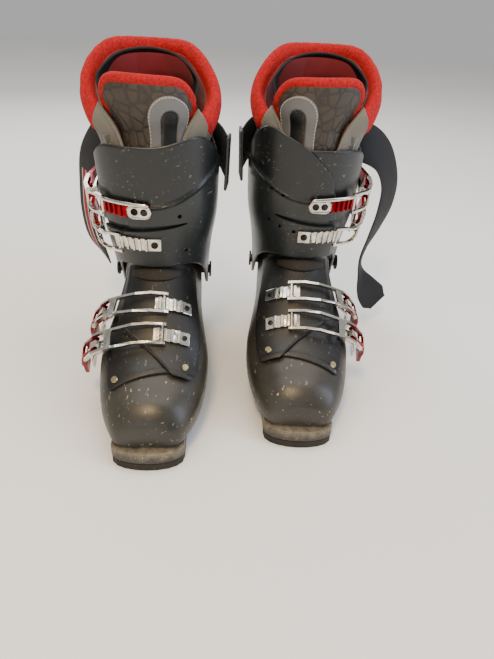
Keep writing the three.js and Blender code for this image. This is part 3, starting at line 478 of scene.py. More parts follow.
def tubeOf(path, radiusAt, sides=16, up=Vector((0, 0, 1))):
    # a round or oval tube with closed ends: radiusAt(share) gives (half across, half along up)
    rings = []
    for i, point in enumerate(path):
        ahead = (path[min(i + 1, len(path) - 1)] - path[max(i - 1, 0)]).normalized()
        out = ahead.cross(up).normalized()
        lift = out.cross(ahead).normalized()
        wide, tall = radiusAt(i / (len(path) - 1))
        rings.append([point + out * wide * math.cos(turn) + lift * tall * math.sin(turn)
                      for turn in (2 * math.pi * k / sides for k in range(sides))])
    return loftOf(rings)


def meshObject(name, points, faces):
    mesh = bpy.data.meshes.new(name)
    mesh.from_pydata([tuple(p) for p in points], [], faces)
    shape = bmesh.new()
    shape.from_mesh(mesh)
    bmesh.ops.remove_doubles(shape, verts=shape.verts, dist=1e-4)
    if shape.calc_volume(signed=True) < 0:
        bmesh.ops.reverse_faces(shape, faces=shape.faces)
    shape.to_mesh(mesh)
    shape.free()
    made = bpy.data.objects.new(name, mesh)
    bpy.context.scene.collection.objects.link(made)
    return made


def carve(base, steps):
    # joins and cuts, in order, as (operation, points, faces); gives a plain mesh
    body = meshObject("carved", *base)
    tools = []
    for operation, points, faces in steps:
        tool = meshObject("tool", points, faces)
        modifier = body.modifiers.new("cut", "BOOLEAN")
        modifier.operation = operation
        modifier.solver = "MANIFOLD"
        modifier.object = tool
        tools.append(tool)
    made = bpy.data.meshes.new_from_object(body.evaluated_get(bpy.context.evaluated_depsgraph_get()))
    for thing in (body, *tools):
        bpy.data.objects.remove(thing)
    return made


def barAlongX(radius, half, y, z, sides=48):
    return loftOf([[Vector((x, y + radius * math.cos(t), z + radius * math.sin(t)))
                    for t in (2 * math.pi * k / sides for k in range(sides))] for x in (-half, half)])


def peg(point, normal, radius, before, behind, sides=20):
    # a round bar along a surface normal, for holes
    out = normal.orthogonal().normalized()
    over = normal.cross(out)
    return loftOf([[point + normal * c + out * radius * math.cos(t) + over * radius * math.sin(t)
                    for t in (2 * math.pi * k / sides for k in range(sides))] for c in (-behind, before)])


# Surfaces of the lower shell, the cuff and the liner, the same as the frame's

shellLines = [
    ((0.031, 0.235, 0.110), (0.031, 0.130, 2.0)), ((0.041, 0.300, 0.262), (0.035, 0.066, 2.5)),
    ((0.084, 0.378, 0.352), (0.074, 0.052, 2.7)), ((0.152, 0.430, 0.432), (0.146, 0.052, 3.0)),
    ((0.238, 0.510, 0.484), (0.244, 0.052, 3.4)), ((0.310, 0.614, 0.500), (0.352, 0.065, 4.0)),
    ((0.375, 0.716, 0.467), (0.484, 0.070, 4.0)), ((0.431, 0.791, 0.430), (0.648, 0.062, 4.0)),
    ((0.470, 0.859, 0.407), (0.828, 0.052, 3.5)), ((0.489, 0.902, 0.400), (0.960, 0.085, 3.0)),
    ((0.495, 0.941, 0.400), (0.982, 0.330, 2.6)), ((0.497, 0.974, 0.400), (0.966, 0.555, 2.3)),
    ((0.498, 1.000, 0.400), (0.946, 0.750, 2.2)),
]
topSquareness = 2.3


def placedLine(line, scale):
    return (toeY + line[0] * boot["soleLength"], line[1] * boot["throatHeight"], line[2] * scale)


shellTop = through([placedLine(top, boot["forefootWidth"]) for top, bottom in shellLines])
shellBottom = through([placedLine(bottom, 1) for top, bottom in shellLines])


def shellSurface(along, turn):
    top = shellTop(along)
    bottom = shellBottom(along)
    lift = math.cos(turn)
    squareness = topSquareness if lift > 0 else bottom.z
    reach = math.sqrt(max(0, 1 - abs(lift) ** squareness))
    x = top.z * math.copysign(reach, math.sin(turn))
    return Vector((x, mix(bottom.x, top.x, (1 + lift) / 2), mix(bottom.y, top.y, (1 + lift) / 2)))


ankleHalf = abs(shellSurface(0.86, math.pi / 2).x)
ankleRoom = 4.6
cuffLowY = pivot.y - 90.5
cuffLowZ = pivot.z + 43
cuffBottom = boot["pivotHeight"] - 34
cuffTop = boot["cuffHeight"] + boot["spoilerRise"] + 20
cuffFrontTopY = cuffLowY - 17
ankleOut = ankleHalf + ankleRoom + boot["cuffWall"]
half = boot["cuffHalfWidth"]
depth = boot["cuffDepth"]


def backAt(share):
    return shellBottom(share).x + ankleRoom + boot["cuffWall"]


cuffRings = through([
    (cuffLowY + 14, backAt(0.86) + 1, ankleOut),
    (cuffLowY + 7, backAt(0.93) + 2, ankleOut),
    (cuffLowY - 1, backAt(1) + 1, mix(ankleOut, half, 0.3)),
    (cuffLowY - 7, cuffFrontTopY + depth + 17, mix(ankleOut, half, 0.85)),
    (cuffLowY - 12, cuffFrontTopY + depth + 7, half),
    (cuffFrontTopY, cuffFrontTopY + depth - 1, half + 1),
    (cuffFrontTopY - 3, cuffFrontTopY + depth - 7, half + 2),
])
cuffSquareness = 2.25


def cuffSurface(along, turn):
    ring = cuffRings(along)
    middle = (ring.x + ring.y) / 2
    deep = (ring.y - ring.x) / 2
    cos = math.cos(turn)
    sin = math.sin(turn)
    reach = (abs(cos) ** cuffSquareness + abs(sin) ** cuffSquareness) ** (-1 / cuffSquareness)
    return Vector((ring.z * reach * sin, middle - deep * reach * cos, mix(cuffBottom, cuffTop, along)))


def heightShare(z):
    return (z - cuffBottom) / (cuffTop - cuffBottom)


def cuffLow(turn):
    angle = abs(wrapped(turn))
    base = mix(cuffLowZ, boot["pivotHeight"] + 2, ease(angle, 0.5, 1.9))
    return base - 26 * hump(angle, 1.62, 0.42)


def cuffHigh(turn):
    angle = wrapped(turn)
    back = boot["spoilerRise"] * ease(abs(angle), 2.0, 2.9)
    return boot["cuffHeight"] + back - 24 * hump(abs(angle), 1.65, 0.5) + 5 * hump(angle, 0.7, 0.4)


underRoom = boot["cuffWall"] + 1.2
linerRoom = 2.2
linerWaist = ankleHalf - boot["shellWall"] - linerRoom - 0.8
shaftBottom = boot["pivotHeight"] + 26
collarLean = 7
collarThickness = 14
collarFlare = 4


def insideCuff(z):
    ring = cuffRings(heightShare(z))
    room = boot["cuffWall"] + linerRoom
    return (ring.x + room + underRoom + 1.5, ring.y - room, ring.z - room - underRoom - 0.5)


shaftRings = through([
    (cuffLowY + 29, backAt(1) - 14, linerWaist - 3),
    (cuffLowY + 16, insideCuff(165)[1] - 3, linerWaist - 0.5),
    insideCuff(207),
    insideCuff(min(249, boot["cuffHeight"] - 10)),
    (cuffFrontTopY + 10, cuffFrontTopY + depth - 12, half + collarFlare),
    (cuffFrontTopY + 12, cuffFrontTopY + depth - 10, half + collarFlare - 3),
])


def shaftSurface(along, turn):
    ring = shaftRings(along)
    middle = (ring.x + ring.y) / 2
    deep = (ring.y - ring.x) / 2
    z = mix(shaftBottom, boot["collarHeight"], along)
    lean = -collarLean * ease(z, boot["cuffHeight"] - 5, boot["collarHeight"])
    return Vector((lean + ring.z * math.sin(turn), middle - deep * math.cos(turn), z))


def shaftShare(z):
    return (z - shaftBottom) / (boot["collarHeight"] - shaftBottom)


def rimTaper(distance, radius):
    # 0 at a rounded edge, 1 past its radius
    near = min(1, max(0, distance / radius))
    return math.sqrt(1 - (1 - near) ** 2)


# Lower shell
shellSizes = dict(rings=130, round=120, throatFrom=0.39, throatHalf=0.42, lugHalf=34, toeLug=19, heelLug=30,
                  soleGap=8, toeLength=82, heelLength=76, pivotHole=5.5)


def shellLoft(start, stop, off, steps, count):
    return loftOf([[offSurface(shellSurface, mix(start, stop, i / steps), 2 * math.pi * j / count, off)
                    for j in range(count)] for i in range(steps + 1)])


def lugSlab(end, length, halfWidth, roundShare, low, high):
    way = math.copysign(1, end)
    depthOfEnd = halfWidth * roundShare
    outline = [(-halfWidth, end - way * length)]
    for i in range(41):
        turn = math.pi * i / 40
        outline.append((-halfWidth * math.cos(turn), end - way * depthOfEnd * (1 - math.sin(turn) ** 0.8)))
    outline.append((halfWidth, end - way * length))
    rings = []
    for z, inset in ((low, 0.6), (low + 0.6, 0), (high - 1.6, 0), (high - 0.5, 0.5), (high, 1.6)):
        rings.append([Vector((x * (1 - inset / halfWidth), y - way * inset, z)) for x, y in outline])
    return loftOf(rings)


def makeShell(side):
    s = shellSizes
    base = shellLoft(0, 1, 0, s["rings"], s["round"])
    slot = plateOf(shares(60), shares(12), lambda u, v, face: offSurface(
        shellSurface, mix(s["throatFrom"], 1.04, u), s["throatHalf"] * (2 * v - 1) * (0.55 + 0.45 * u),
        8 if face else -12))
    steps = [
        ("UNION", *lugSlab(toeY, s["toeLength"], s["lugHalf"], 0.55, s["soleGap"], s["toeLug"])),
        ("UNION", *lugSlab(heelY, s["heelLength"], s["lugHalf"] - 1, 0.5, s["soleGap"], s["heelLug"])),
        ("DIFFERENCE", *shellLoft(0.045, 1.04, -boot["shellWall"], 70, 64)),
        ("DIFFERENCE", *slot),
        ("DIFFERENCE", *barAlongX(s["pivotHole"], 90, pivot.y, pivot.z)),
    ]
    mesh = carve(base, steps)
    wear = mesh.attributes.new("wear", "FLOAT", "POINT")
    values = []
    lugTop = s["toeLug"]
    for vertex in mesh.vertices:
        x, y, z = vertex.co
        front = ease(y, toeY + 50, toeY + 12)
        rubbed = 0.5 * hump(z, lugTop - 1, 3) + 0.12 * ease(z, lugTop + 4, lugTop - 4)
        values.append(front * rubbed + 0.15 * ease(z, 40, 16))
    wear.data.foreach_set("value", values)
    finishPiece(side, "shellMoulding", mesh, "shell", "lower", "lower_shell", "lower_shell", 32)


for side in sides:
    makeShell(side)
print("lower shells made")

# Throat flaps
flapSizes = dict(start=0.245, end=0.77, bead=0.5, slant=0.045, wide=60, long=150)
flapStack = 2 * boot["flapThickness"] + 3 * boot["flapGap"]


def flapNose(along, start, corner):
    near = min(1, max(0, (along - start) / corner))
    return math.sqrt(1 - (1 - near) ** 2)


def makeFlaps(side):
    s = flapSizes
    thick = boot["flapThickness"]
    gap = boot["flapGap"]
    columns = shares(110, 0.02)
    rows = shares(70, 0.03)

    def offOf(u, v, face, middle, beadIn):
        # how far a face stands off the shell, with round edges and a bead round the rim
        edge = min(v, 1 - v) * s["wide"]
        taper = min(rimTaper(edge, 1.0), rimTaper(u * s["long"], 1.0)) * thick / 2
        if not face:
            return middle - taper
        return middle + taper + s["bead"] * hump(min(v * s["wide"], u * s["long"]), beadIn, 0.8)

    def outer(u, v, face):
        along = mix(s["start"], s["end"], u)
        low = -0.92 + 0.12 * u + 0.2 * (1 - flapNose(along, s["start"], 0.03))
        high = mix(0.52, 0.3, u)
        along = mix(s["start"] + s["slant"] * v, s["end"], u)
        return offSurface(shellSurface, along, mix(low, high, v), offOf(u, v, face, gap + thick / 2, 3.2))

    def inner(u, v, face):
        along = mix(s["start"] + 0.03, s["end"], u)
        low = mix(0.36, -0.62, min(1, u / 0.32))
        nose = 1 - flapNose(along, s["start"] + 0.03, 0.03)
        turn = mix(low + 0.05 * nose, 0.86 - 0.16 * nose, v)
        return offSurface(shellSurface, along, turn, offOf(u, v, face, 2 * gap + thick * 1.5, 3.0))

    for name, at, node in (("flapOuterSide", outer, "throat_flap_outer_side"),
            ("flapInnerSide", inner, "throat_flap_inner_side")):
        points, faces = plateOf(columns, rows, at)
        wear = [0.35 * (1 - rimTaper(min(min(v, 1 - v) * s["wide"], u * s["long"]), 2.5)) for face in (0, 1)
                for u in columns for v in rows]
        addPiece(side, name, points, faces, "flap", "lower", "flap", node, wear=wear)


for side in sides:
    makeFlaps(side)
print("flaps made")

# Cuff
cuffSizes = dict(columns=280, rows=80, rim=1.6, ridge=1.5, slitHalf=4.2, holeRadius=2.1, wrapLength=400,
                 frontTall=110)
cuffStyles = dict(
    right=dict(edge=(-0.95, -1.0), peak=4, drop=0, corner=9, holes=((0.42, 196), (0.55, 158))),
    left=dict(edge=(-0.62, -0.36), peak=9, drop=5, corner=26,
              holes=((-0.05, 205), (0.42, 210), (0.62, 215), (0.20, 172), (0.45, 176), (0.65, 180))),
)
overlapTo = 2 * math.pi + 0.55


def ridgeHeight(turn):
    # the raised line that curves up from the free edge to the inner side
    return 208 - 3 * hump(turn, -0.2, 0.5) + 34 * ease(turn, 0.1, 1.55)


def makeCuff(side):
    s = cuffSizes
    style = cuffStyles[side]
    wall = boot["cuffWall"]
    columns = shares(s["columns"], 0.004)
    rows = shares(s["rows"], 0.012)
    wrapLength = s["wrapLength"]

    def spot(u, v):
        turn = mix(mix(style["edge"][0], style["edge"][1], v), overlapTo, u)
        under = ease(turn, 2 * math.pi - 1.9, 2 * math.pi - 1.25)
        top = cuffHigh(turn) - 6 * under
        if turn < 1.9:
            top += style["peak"] * hump(turn, 0.8, 0.45) - style["drop"] * ease(turn, 0.6, -0.3)
        height = mix(cuffLow(turn), top, v)
        return turn, under, height

    def edgeDistance(u, v):
        return min(min(u, 1 - u) * wrapLength, min(v, 1 - v) * s["frontTall"])

    def at(u, v, face):
        turn, under, height = spot(u, v)
        if u < 0.12 and v > 0.5:
            # the free flap's top corner is cut off and rounded
            cut = max(0, 1 - u * wrapLength / (8 + style["corner"])) ** 1.6
            height -= style["corner"] * cut * ease(v, 0.5, 1)
        taper = rimTaper(edgeDistance(u, v), s["rim"])
        off = -wall / 2 - under * (wall + 1.2) + (1 if face else -1) * taper * wall / 2
        if face and turn < 1.9:
            away = height - ridgeHeight(turn)
            off += s["ridge"] * hump(away, 0, 1.5) * ease(turn, 1.9, 1.6)
            off -= 0.5 * ease(away, 0, 3) * ease(turn, 1.9, 1.6)
        return offSurface(cuffSurface, heightShare(height), turn, off)

    base = plateOf(columns, rows, at)
    start = min(style["edge"]) - 0.05

    def slit(u, v, face):
        turn = mix(start, 0.55, u)
        halfTall = s["slitHalf"] * math.sqrt(max(0, 1 - u)) + 0.3
        height = cuffLowZ + 40 + 7 * u * u + halfTall * (2 * v - 1)
        return offSurface(cuffSurface, heightShare(height), turn, 3 if face else -wall - 0.8)

    steps = [("DIFFERENCE", *plateOf(shares(40), shares(2), slit)),
             ("DIFFERENCE", *barAlongX(shellSizes["pivotHole"], 90, pivot.y, pivot.z))]
    for turn, height in style["holes"]:
        point, up, across, normal = frameOn(cuffSurface, heightShare(height), turn)
        steps.append(("DIFFERENCE", *peg(point, normal, s["holeRadius"], 3, wall + 0.9)))
    mesh = carve(base, steps)
    pale = mesh.attributes.new("pale", "FLOAT", "POINT")
    values = []
    for vertex in mesh.vertices:
        x, y, z = vertex.co
        turn = math.atan2(x, 25 - y)
        values.append(ease(ridgeHeight(turn) - z, -1, 3) * ease(abs(turn), 2.3, 1.6) * 0.75)
    pale.data.foreach_set("value", values)
    finishPiece(side, "cuffMoulding", mesh, "cuff", "cuff_group", "cuff", "cuff", 32)


for side in sides:
    makeCuff(side)
print("cuffs made")

# Liner shaft: grey outside panels, a red lining quilted in upright channels, and piping on the front edges
linerSizes = dict(channels=9, puff=1.6, piping=1.5, open=1.0, openTop=0.82, wrapLength=260, tall=190,
                  collarWide=6.6, collarTall=9.5, collarFrom=0.055, wingTop=285, wingLow=29, wingHigh=57)


def shaftOpen(v):
    return mix(linerSizes["open"], linerSizes["openTop"], v)


def shaftHeights(turn):
    behind = ease(abs(wrapped(turn)), 0.9, 2.6)
    return 0.05 * (1 - behind), mix(0.69, 1, behind)


def shaftThickness(v):
    return mix(boot["linerThickness"], collarThickness, ease(v, 0.75, 0.95))


def onShaft(u, v, off):
    start = shaftOpen(v)
    turn = mix(start, 2 * math.pi - start, u)
    low, high = shaftHeights(turn)
    return offSurface(shaftSurface, mix(low, high, v), turn, off)


def makeLiner(side):
    s = linerSizes
    columns = shares(200, 0.006)
    rows = [0.955 * v for v in shares(50, 0.02)]

    def panel(u, v, face):
        taper = rimTaper(min(u, 1 - u) * s["wrapLength"], 3)
        thick = shaftThickness(v) - 1.8
        return onShaft(u, v, -thick / 2 + (0.5 if face else -0.5) * thick * mix(0.35, 1, taper))

    def quilt(u, v, face):
        thick = shaftThickness(v)
        channel = abs(math.sin(math.pi * u * s["channels"])) ** 0.5
        taper = rimTaper(min(u, 1 - u) * s["wrapLength"], 3)
        return onShaft(u, v, -thick + 1.5 if face else -thick - s["puff"] * channel * taper + 0.6)

    uv = uvOf(columns, rows, s["wrapLength"], s["tall"])
    for name, at, look, node in (("linerPanel", panel, "linerSide", "liner_shaft"),
                                 ("linerLining", quilt, "lining", None)):
        piece = addPiece(side, name, *plateOf(columns, rows, at), look, "cuff_group", "liner", node, uv)

    # collar: a thick fleece roll over the top edge, blunt at the front ends
    begin = s["collarFrom"]
    path = [onShaft(mix(begin, 1 - begin, i / 130), 0.965, -collarThickness / 2 + 0.5) for i in range(131)]

    def rollSize(share):
        end = rimTaper(min(share, 1 - share) * 330, 12)
        front = 1 - ease(min(share, 1 - share), 0.0, 0.16)
        return (s["collarWide"] + 1.0 * front) * end + 0.05, (s["collarTall"] + 1.5 * front) * end + 0.05

    points, faces = tubeOf(path, rollSize, 36)
    lumps = [(math.sin(p.x * 0.55 + p.z * 0.3) + math.sin(p.y * 0.47 - p.z * 0.6)) * 0.25 for p in points]
    points = [p + Vector((lump, lump, -lump)) * 0.5 for p, lump in zip(points, lumps)]
    collar = addPiece(side, "linerCollar", points, faces, "fleece", "cuff_group", "liner", angle=80)

    for edge, share in (("Outer", 0.0), ("Inner", 1.0)):
        path = [onShaft(share, mix(0.25, 0.9, i / 40), -1.5) for i in range(41)]
        points, faces = tubeOf(path, lambda t: (s["piping"], s["piping"]), 12, Vector((0, 1, 0)))
        addPiece(side, "linerPiping" + edge, points, faces, "piping", "cuff_group", "liner")

    for sign in (-1, 1):
        # wings that lap over the tongue, from the collar's ends down into the cuff
        def wing(u, v, face):
            inwards = u if sign < 0 else 1 - u
            height = mix(boot["cuffHeight"] - 14, mix(s["wingTop"] - 13, s["wingTop"], inwards), v)
            outer = offSurface(shaftSurface, shaftShare(height), sign * mix(1.1, 1.02, v), 0.9)
            inner = tongueAt(sign * mix(s["wingLow"], s["wingHigh"], v), height, 3.4)
            point = outer.lerp(inner, inwards)
            out = Vector((point.x, point.y - pivot.y, 0)).normalized()
            taper = rimTaper(min(1 - inwards, 1 - v) * 30, 1.4)
            bulge = 2.2 * math.sin(math.pi * inwards) + 0.9 * hump(inwards, 0.93, 0.06)
            return point + out * (bulge + (1.1 if face else -1.1) * taper)

        name = "linerWing" + ("Outer" if sign < 0 else "Inner")
        made = plateOf(shares(40, 0.04), shares(40, 0.04), wing)
        addPiece(side, name, *made, "linerSide", "cuff_group", "liner")


# Tongue: an embossed blade with a fleece binding over its top, and a grey arch sewn on near the inner side
tongueSizes = dict(bottom=cuffLowZ + 18, halfLow=0.75, halfTop=0.98, thickness=9, cornerDrop=24,
        cornerPower=7,
                   bindingWide=5.0, bindingTall=5.2, archAt=23, archRadius=17, archBand=14, archTop=299,
                   archRaise=1.6, archStraight=55, wide=104, long=150)


def tongueOff(v):
    return -max(boot["linerThickness"], collarThickness * ease(v, 0.45, 0.75)) - 2


def onTongue(u, v, off):
    s = tongueSizes
    turn = mix(s["halfLow"], s["halfTop"], v) * (2 * u - 1)
    top = boot["tongueHeight"] - s["cornerDrop"] * abs(2 * u - 1) ** s["cornerPower"]
    return offSurface(shaftSurface, shaftShare(mix(s["bottom"], top, v)), turn, tongueOff(v) + off)


def tongueAt(across, z, off):
    # a place on the tongue's front by millimetres across and height
    v = (z - tongueSizes["bottom"]) / (boot["tongueHeight"] - tongueSizes["bottom"])
    return offSurface(shaftSurface, shaftShare(z), across / 58, tongueOff(v) + off)


# Foot of the liner, inside the shell: open at the ankle and hollow down to its insole
footSizes = dict(room=4.5, floor=21.91, insole=5)


def makeLinerFoot(side):
    s = footSizes
    room = boot["shellWall"] + s["room"]
    below = lambda top: loftOf([[Vector((x, y, z)) for x, y in ((-200, -300), (200, -300), (200, 300),
            (-200, 300))]
            for z in (-200, top)])
    hollow = carve(shellLoft(0.11, 0.9, -room - boot["linerThickness"], 50, 64),
                   [("DIFFERENCE", *below(s["floor"] + s["insole"]))])
    hollowPoints = [vertex.co.copy() for vertex in hollow.vertices]
    hollowFaces = [tuple(face.vertices) for face in hollow.polygons]
    mesh = carve(shellLoft(0.07, 0.85, -room, 70, 72),
                 [("DIFFERENCE", *below(s["floor"])), ("DIFFERENCE", hollowPoints, hollowFaces)])
    piece = finishPiece(side, "linerFoot", mesh, "linerSide", "lower", "liner", "liner_foot", 50)


def makeTongue(side):
    s = tongueSizes
    columns = shares(90, 0.02)
    rows = shares(70, 0.02)

    def blade(u, v, face):
        taper = min(rimTaper(min(u, 1 - u) * s["wide"], 4), rimTaper((1 - v) * s["long"], 4))
        bulge = 1 - (2 * u - 1) ** 2
        return onTongue(u, v, ((1 if face else -1) * taper - 1) * s["thickness"] / 2 + bulge * face)

    piece = addPiece(side, "linerTongue", *plateOf(columns, rows, blade), "tongue", "cuff_group", "tongue",
                     "liner_tongue", uvOf(columns, rows, s["wide"], s["long"]))

    climb = (0.84, 0.88, 0.92, 0.96)
    edge = [(0, v) for v in climb] + [(i / 60, 1) for i in range(61)] + [(1, v) for v in reversed(climb)]
    path = [onTongue(u, v, -s["thickness"] / 2 + 0.8) for u, v in edge]

    def bindingSize(share):
        end = rimTaper(min(share, 1 - share) * s["long"], 7)
        return s["bindingWide"] * end + 0.05, s["bindingTall"] * end + 0.05

    points, faces = tubeOf(path, bindingSize, 28)
    binding = addPiece(side, "tongueBinding", points, faces, "fleece", "cuff_group", "liner", angle=80)

    # arch: up one side, round the top and down the other
    straight = s["archStraight"]
    radius = s["archRadius"]
    middleX = s["archAt"]
    middleZ = s["archTop"] - radius - s["archBand"] / 2
    bend = math.pi * radius

    def archLine(share):
        # a place on the band's middle line, across and up, and its way out
        run = share * (2 * straight + bend)
        if run < straight:
            return Vector((middleX - radius, middleZ - straight + run)), Vector((-1, 0))
        if run > straight + bend:
            return Vector((middleX + radius, middleZ + straight + bend - run)), Vector((1, 0))
        turn = math.pi - (run - straight) / radius
        out = Vector((math.cos(turn), math.sin(turn)))
        return Vector((middleX, middleZ)) + out * radius, out

    def arch(u, v, face):
        middle, out = archLine(u)
        spot = middle + out * (v - 0.5) * s["archBand"]
        taper = rimTaper(min(v, 1 - v) * s["archBand"], 1.6)
        return tongueAt(spot.x, spot.y, 1.0 + (s["archRaise"] * taper if face else -0.6))

    def window(u, v, face):
        # dark inset between the arch's legs
        inner = radius - s["archBand"] / 2 + 0.6
        x = (2 * u - 1) * inner
        top = middleZ + math.sqrt(max(0, inner ** 2 - x ** 2))
        return tongueAt(middleX + x, mix(middleZ - 40, top, v), 0.9 if face else -0.4)

    for name, made, look in (("tongueArch", plateOf(shares(90), shares(12, 0.06), arch), "panel"),
            ("tongueWindow", plateOf(shares(24), shares(40), window), "flap")):
        addPiece(side, name, *made, look, "cuff_group", "tongue")
    # the line of stitches near the band's outer edge
    marks = [archLine(i / 120) for i in range(121)]
    return [tongueAt(*(middle + out * (s["archBand"] / 2 - 1.6)), 2.75) for middle, out in marks]


# Bands of webbing: points as (x, y, z, and the way across the band)
def bandOf(points, width, thickness, steps, tip=None):
    route = through([p[:3] for p in points])
    turn = through([p[3:] for p in points])
    rings = []
    uv = []
    length = 0
    before = None
    section = [(-1, -0.6), (-0.97, -1), (-0.33, -1), (0.33, -1), (0.97, -1), (1, -0.6),
               (1, 0.6), (0.97, 1), (0.33, 1), (-0.33, 1), (-0.97, 1), (-1, 0.6)]
    for i in range(steps + 1):
        share = i / steps
        middle = route(share)
        ahead = (route(min(1, share + 1e-3)) - route(share - 1e-3)).normalized()
        across = turn(share)
        across = (across - ahead * across.dot(ahead)).normalized()
        face = ahead.cross(across)
        if before is not None:
            length += (middle - before).length
        before = middle
        narrow = tip(share) if tip else 1
        rings.append([middle + across * a * width / 2 * narrow + face * b * thickness / 2 for a,
                b in section])
        uv += [(length * 0.001, a * width * 0.0005) for a, b in section]
    points, faces = loftOf(rings)
    uv += [(0, 0), (length * 0.001, 0)]
    return points, faces, uv, length


loopSizes = dict(width=19, thickness=2, drop=64, gap=7, front=32.5)


def makePullLoop(side):
    s = loopSizes
    halfWide = shaftRings(0.8).z - collarThickness - s["gap"]
    height = boot["collarHeight"]
    low = height - s["drop"]
    middleY = pivot.y - s["front"]
    # half the arch: share of the half width, inset, way behind the middle, height and the band's tilt
    arch = [(1, 9, -14, low, -0.1, 0), (1, 3, -12, low + 26, -0.2, 0), (0.93, 0, -8, height - 24, -0.25, 0),
            (0.6, 0, 0, height - 9, 0, -0.15)]
    centre = (-collarLean * 0.6, middleY + 6, height - 5, 0, 1, -0.25)
    sideOf = lambda sign, rows: [(sign * (share * halfWide - inset) - collarLean * 0.6, middleY + y, z,
            sign * across, 1, tilt) for share, inset, y, z, across, tilt in rows]
    points, faces, uv, length = bandOf([*sideOf(-1, arch), centre, *sideOf(1, reversed(arch))],
            s["width"], s["thickness"], 140)
    piece = addPiece(side, "pullLoop", points, faces, "webbing", "cuff_group", "webbing", "pull_loop", uv,
                     angle=60)


strapSizes = dict(width=42, thickness=1.8, gap=2.2, start=1.4, stop=2.45, below=22)
strapEnds = dict(
    right=[(-64, 19.5, 236, -0.1, 0.3, 1), (-83, 30.5, 213, -0.5, 0.8, 0.35), (-87, 32.5, 178, -0.6, 0.8, 0),
           (-88, 32.5, 146, -0.6, 0.8, 0), (-83, 32.5, 116, -0.6, 0.8, 0), (-72, 34.5, 90, -0.4, 0.9, 0)],
    left=[(-70, 17.5, 238, -0.1, 0.2, 1), (-95, 26.5, 222, -0.45, 0.7, 0.6),
        (-109, 29.5, 192, -0.6, 0.8, 0.1),
          (-109, 29.5, 160, -0.6, 0.8, 0), (-101, 29.5, 128, -0.5, 0.85, 0), (-92, 29.5, 98, -0.35, 0.9, 0),
          (-92, 28.5, 72, -0.25, 1, 0.1), (-104, 25.5, 50, -0.5, 0.7, 0.4),
        (-121, 22.5, 32, -0.65, 0.35, 0.5)],
)


def makeStrap(side):
    s = strapSizes
    height = boot["cuffHeight"] - s["below"]
    route = []
    for i in range(11):
        turn = mix(s["start"], 2 * math.pi - s["stop"], i / 10)
        rise = 8 * hump(i / 10, 0.5, 0.35)
        stand = s["thickness"] / 2 + s["gap"] + 5 * ease(-i, -1.5, 0)
        point, up, across, normal = frameOn(cuffSurface, heightShare(height + rise), turn)
        route.append((*(point + normal * stand), *up))
    ends = [(x, pivot.y + y, z, *across) for x, y, z, *across in strapEnds[side]]
    points, faces, uv, length = bandOf([*route, *ends], s["width"], s["thickness"], 300,
            lambda share: 1 - 0.35 * ease(share, 0.975, 1))
    look = "webbingStriped" if side == "right" else "webbing"
    piece = addPiece(side, "powerStrap", points, faces, look, "cuff_group", "webbing", "power_strap", uv,
                     angle=60)


# Small parts that repeat: studs on the plastic and the ladders, and stitches on the liner, as node trees
def newTree(name, sockets):
    tree = bpy.data.node_groups.new(name, "GeometryNodeTree")
    tree.is_modifier = True
    tree.interface.new_socket("Geometry", in_out="INPUT", socket_type="NodeSocketGeometry")
    for label, kind, value in sockets:
        socket = tree.interface.new_socket(label, in_out="INPUT", socket_type=kind)
        if value is not None:
            socket.default_value = value
    tree.interface.new_socket("Geometry", in_out="OUTPUT", socket_type="NodeSocketGeometry")
    return tree, addNode(tree, "NodeGroupInput"), addNode(tree, "NodeGroupOutput")


def studTree():
    # a low disc with a chamfered top and, where Recess is not 0, a dark hexagon in it for a socket, painted
    # shade for the recess
    tree, given, out = newTree("studs", [("Radius", "NodeSocketFloat", 0.004),
            ("Height", "NodeSocketFloat", 0.001),
            ("Recess", "NodeSocketFloat", 0.0), ("Finish", "NodeSocketMaterial", None),
            ("Socket", "NodeSocketMaterial", None)])
    g = given.outputs
    chamfer = addNode(tree, "ShaderNodeMath", {0: g["Radius"], 1: 0.8}, operation="MULTIPLY")
    disc = addNode(tree, "MeshCone", {"Vertices": 24, "Radius Top": chamfer, "Radius Bottom": g["Radius"],
            "Depth": g["Height"]})
    metalDisc = addNode(tree, "SetMaterial", {"Geometry": disc, "Material": g["Finish"]})
    deep = addNode(tree, "ShaderNodeMath", {0: g["Height"], 1: 1.06}, operation="MULTIPLY")
    hexagon = addNode(tree, "MeshCylinder", {"Vertices": 6, "Radius": g["Recess"], "Depth": deep})
    darkHexagon = addNode(tree, "SetMaterial", {"Geometry": hexagon, "Material": g["Socket"]})
    both = addNode(tree, "JoinGeometry")
    tree.links.new(metalDisc.outputs[0], both.inputs[0])
    tree.links.new(darkHexagon.outputs[0], both.inputs[0])
    facing = addNode(tree, "InputNamedAttribute", {"Name": "facing"}, data_type="FLOAT_VECTOR")
    turned = addNode(tree, "FunctionNodeAlignRotationToVector", {"Vector": facing}, axis="Z")
    copies = addNode(tree, "InstanceOnPoints", {"Points": g["Geometry"], "Instance": both,
            "Rotation": turned})
    real = addNode(tree, "RealizeInstances", {"Geometry": copies})
    tree.links.new(real.outputs[0], out.inputs[0])
    return tree


